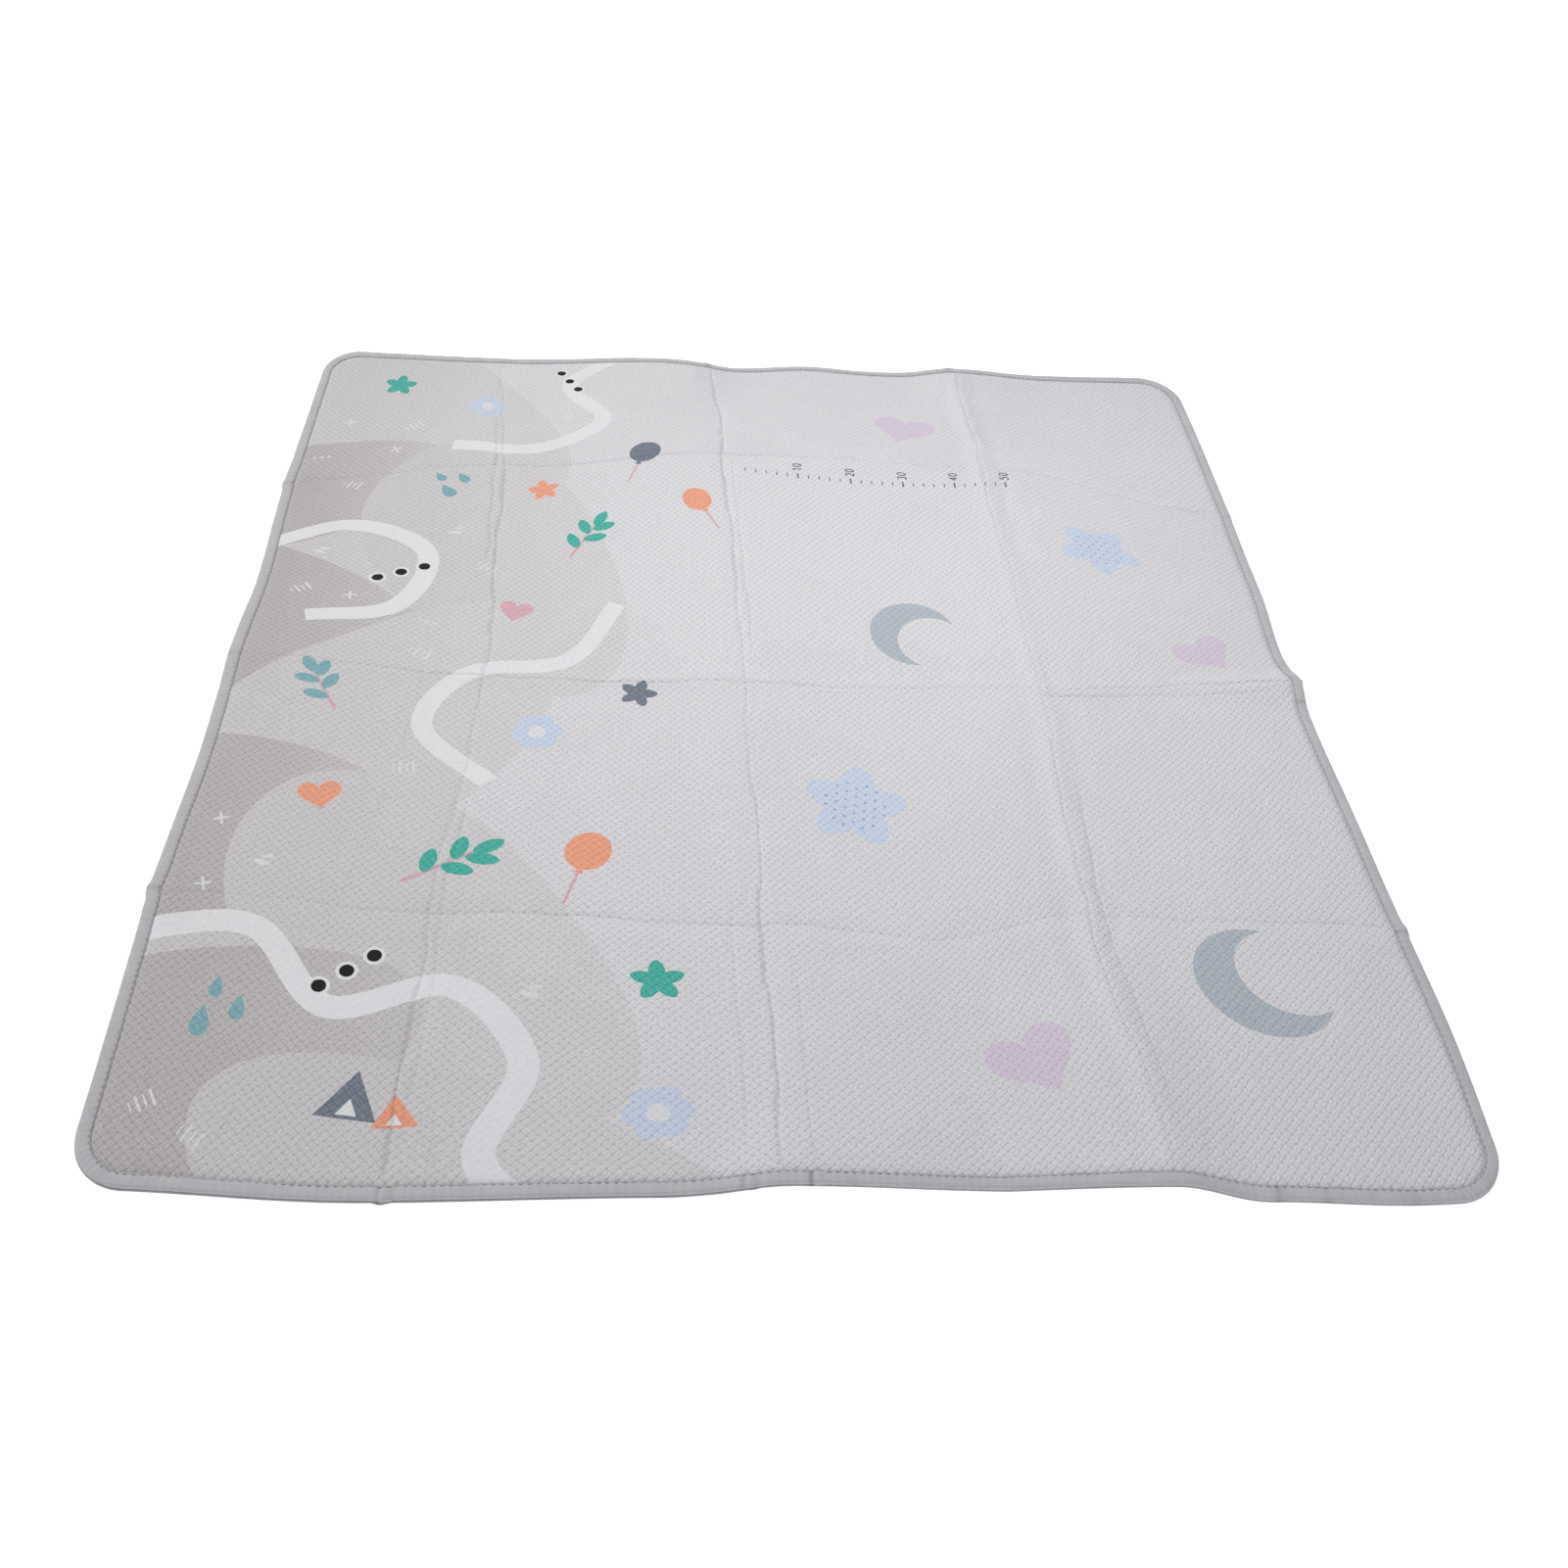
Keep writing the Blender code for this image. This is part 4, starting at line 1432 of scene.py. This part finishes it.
def tape_cloth():
    """Woven polyester binding tape: satin grey with fine ribs across it."""
    material, tree, shader = new_material("woven polyester binding tape", {
        "Roughness": 0.66, "Sheen Weight": 0.2, "Specular IOR Level": 0.4})
    plan = cloth_plan(tree)
    along, across = plan_axes(tree, plan)
    rib_pitch, cross_pitch = 0.0018, 0.0012
    rib = (along * (2 * math.pi / rib_pitch)).by("SINE")
    cross = (across * (2 * math.pi / cross_pitch)).by("SINE")
    threads = rib * cross
    colour = mixed(tree, threads * 0.22 + noise(tree, plan, 26.0, 3.0, 0.6), "#B0B0B2", "#C4C4C5")
    # Painted shade from the mesh darkens the tape's colour
    shaded = scaled(tree, colour, 1.0 - painted_shade_share(tree) * 0.42)
    dress(tree, shader, shaded, threads, 0.35, 0.0004)
    return material


def sewing_thread():
    """Spun polyester thread, darker than the tape and a little glossy."""
    material, tree, shader = new_material("spun polyester thread", {"Roughness": 0.55})
    place = add_node(tree, "ShaderNodeTexCoord").outputs["Object"]
    twist = add_node(tree, "ShaderNodeTexWave", {"bands_direction": "DIAGONAL"}, {
        "Vector": place, "Scale": 700.0, "Distortion": 1.0}).outputs["Fac"]
    dress(tree, shader, mixed(tree, twist, "#848487", "#9A9A9C"))
    return material


def add_floor(reach=14.0, below=0.0004):
    """A plain pale studio floor."""
    mesh = bpy.data.meshes.new("studio_floor")
    corners = ((-reach, -reach, 0), (reach, -reach, 0), (reach, reach, 0), (-reach, reach, 0))
    mesh.from_pydata(corners, [], [(0, 1, 2, 3)])
    floor = in_scene("studio_floor", mesh)
    floor.location.z = -below
    material, _, _ = new_material("matt white studio floor", {
        "Base Color": (*hex_to_linear("#F0F0F0"), 1.0), "Roughness": 0.9,
        "Specular IOR Level": 0.1, "Emission Color": (1.0, 1.0, 1.0, 1.0),
        "Emission Strength": 0.60})
    mesh.materials.append(material)


# Soft boxes: name, place, aim, width and length in metres, strength in watts, colour
LAMPS = (
    ("far_soft_box", (-2.0, 8.4, 5.2), (0.0, 0.0, 0.0), 3.6, 2.6, 200.0, "#FFFFFF"),
    ("front_soft_box", (0.4, -6.5, 3.2), (0.0, 0.0, 0.0), 3.0, 2.0, 80.0, "#FFFFFF"),
    ("overhead_soft_box", (0.25, 0.40, 1.95), (0.28, 0.30, 0.0), 0.9, 0.5, 17.0, "#FFFFFF"),
    ("left_soft_box", (-5.0, 1.2, 2.5), (0.0, 0.0, 0.0), 1.6, 1.2, 105.0, "#FFFAEE"),
)


def add_lights():
    for name, place, aim, wide, long, watts, colour in LAMPS:
        lamp = bpy.data.lights.new(name, "AREA")
        lamp.shape = "RECTANGLE"
        lamp.size, lamp.size_y = wide, long
        lamp.energy = watts
        lamp.color = hex_to_linear(colour)
        holder = in_scene(name, lamp)
        holder.location = place
        toward = Vector(aim) - Vector(place)
        holder.rotation_euler = toward.to_track_quat("-Z", "Y").to_euler()
    world = bpy.data.worlds.new("pale studio")
    world.use_nodes = True
    sky = world.node_tree.nodes["Background"]
    sky.inputs["Color"].default_value = (*hex_to_linear("#F5F4FF"), 1.0)
    sky.inputs["Strength"].default_value = 0.418
    bpy.context.scene.world = world


def add_camera(middle):
    """The camera, solved from the mat's outline and its known size."""
    focal_pixels, picture_side, sensor = 1628.0, 1601.0, 36.0
    lens = bpy.data.cameras.new("studio_camera")
    lens.sensor_width = sensor
    lens.lens = sensor * focal_pixels / picture_side
    camera = in_scene("studio_camera", lens)
    camera.location = (-0.18464 - middle[0], -2.05862 - middle[1], 1.71731)
    camera.rotation_euler = Euler([math.radians(angle) for angle in (46.159, -3.567, -2.510)])
    bpy.context.scene.camera = camera


def main():
    middle = middle_of_outline()
    add_floor()
    add_lights()
    add_camera(middle)
    bpy.context.scene.view_settings.view_transform = "Standard"

    cover = make_cover(middle)
    cover.data.materials.append(cover_cloth())
    cover.data.materials.append(backing_cloth())
    tape = make_binding(middle)
    tape.data.materials.append(tape_cloth())
    thread = sewing_thread()
    top_seam = make_stitches("top_seam", middle, TOP_SEAM_HEIGHT, thread)
    low_seam = make_stitches("underside_seam", middle, UNDERSIDE_SEAM_HEIGHT, thread)

    for piece in (cover, tape, top_seam, low_seam):
        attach(piece, "root")
    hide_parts("mat_panel")
    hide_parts("edge_binding")


main()
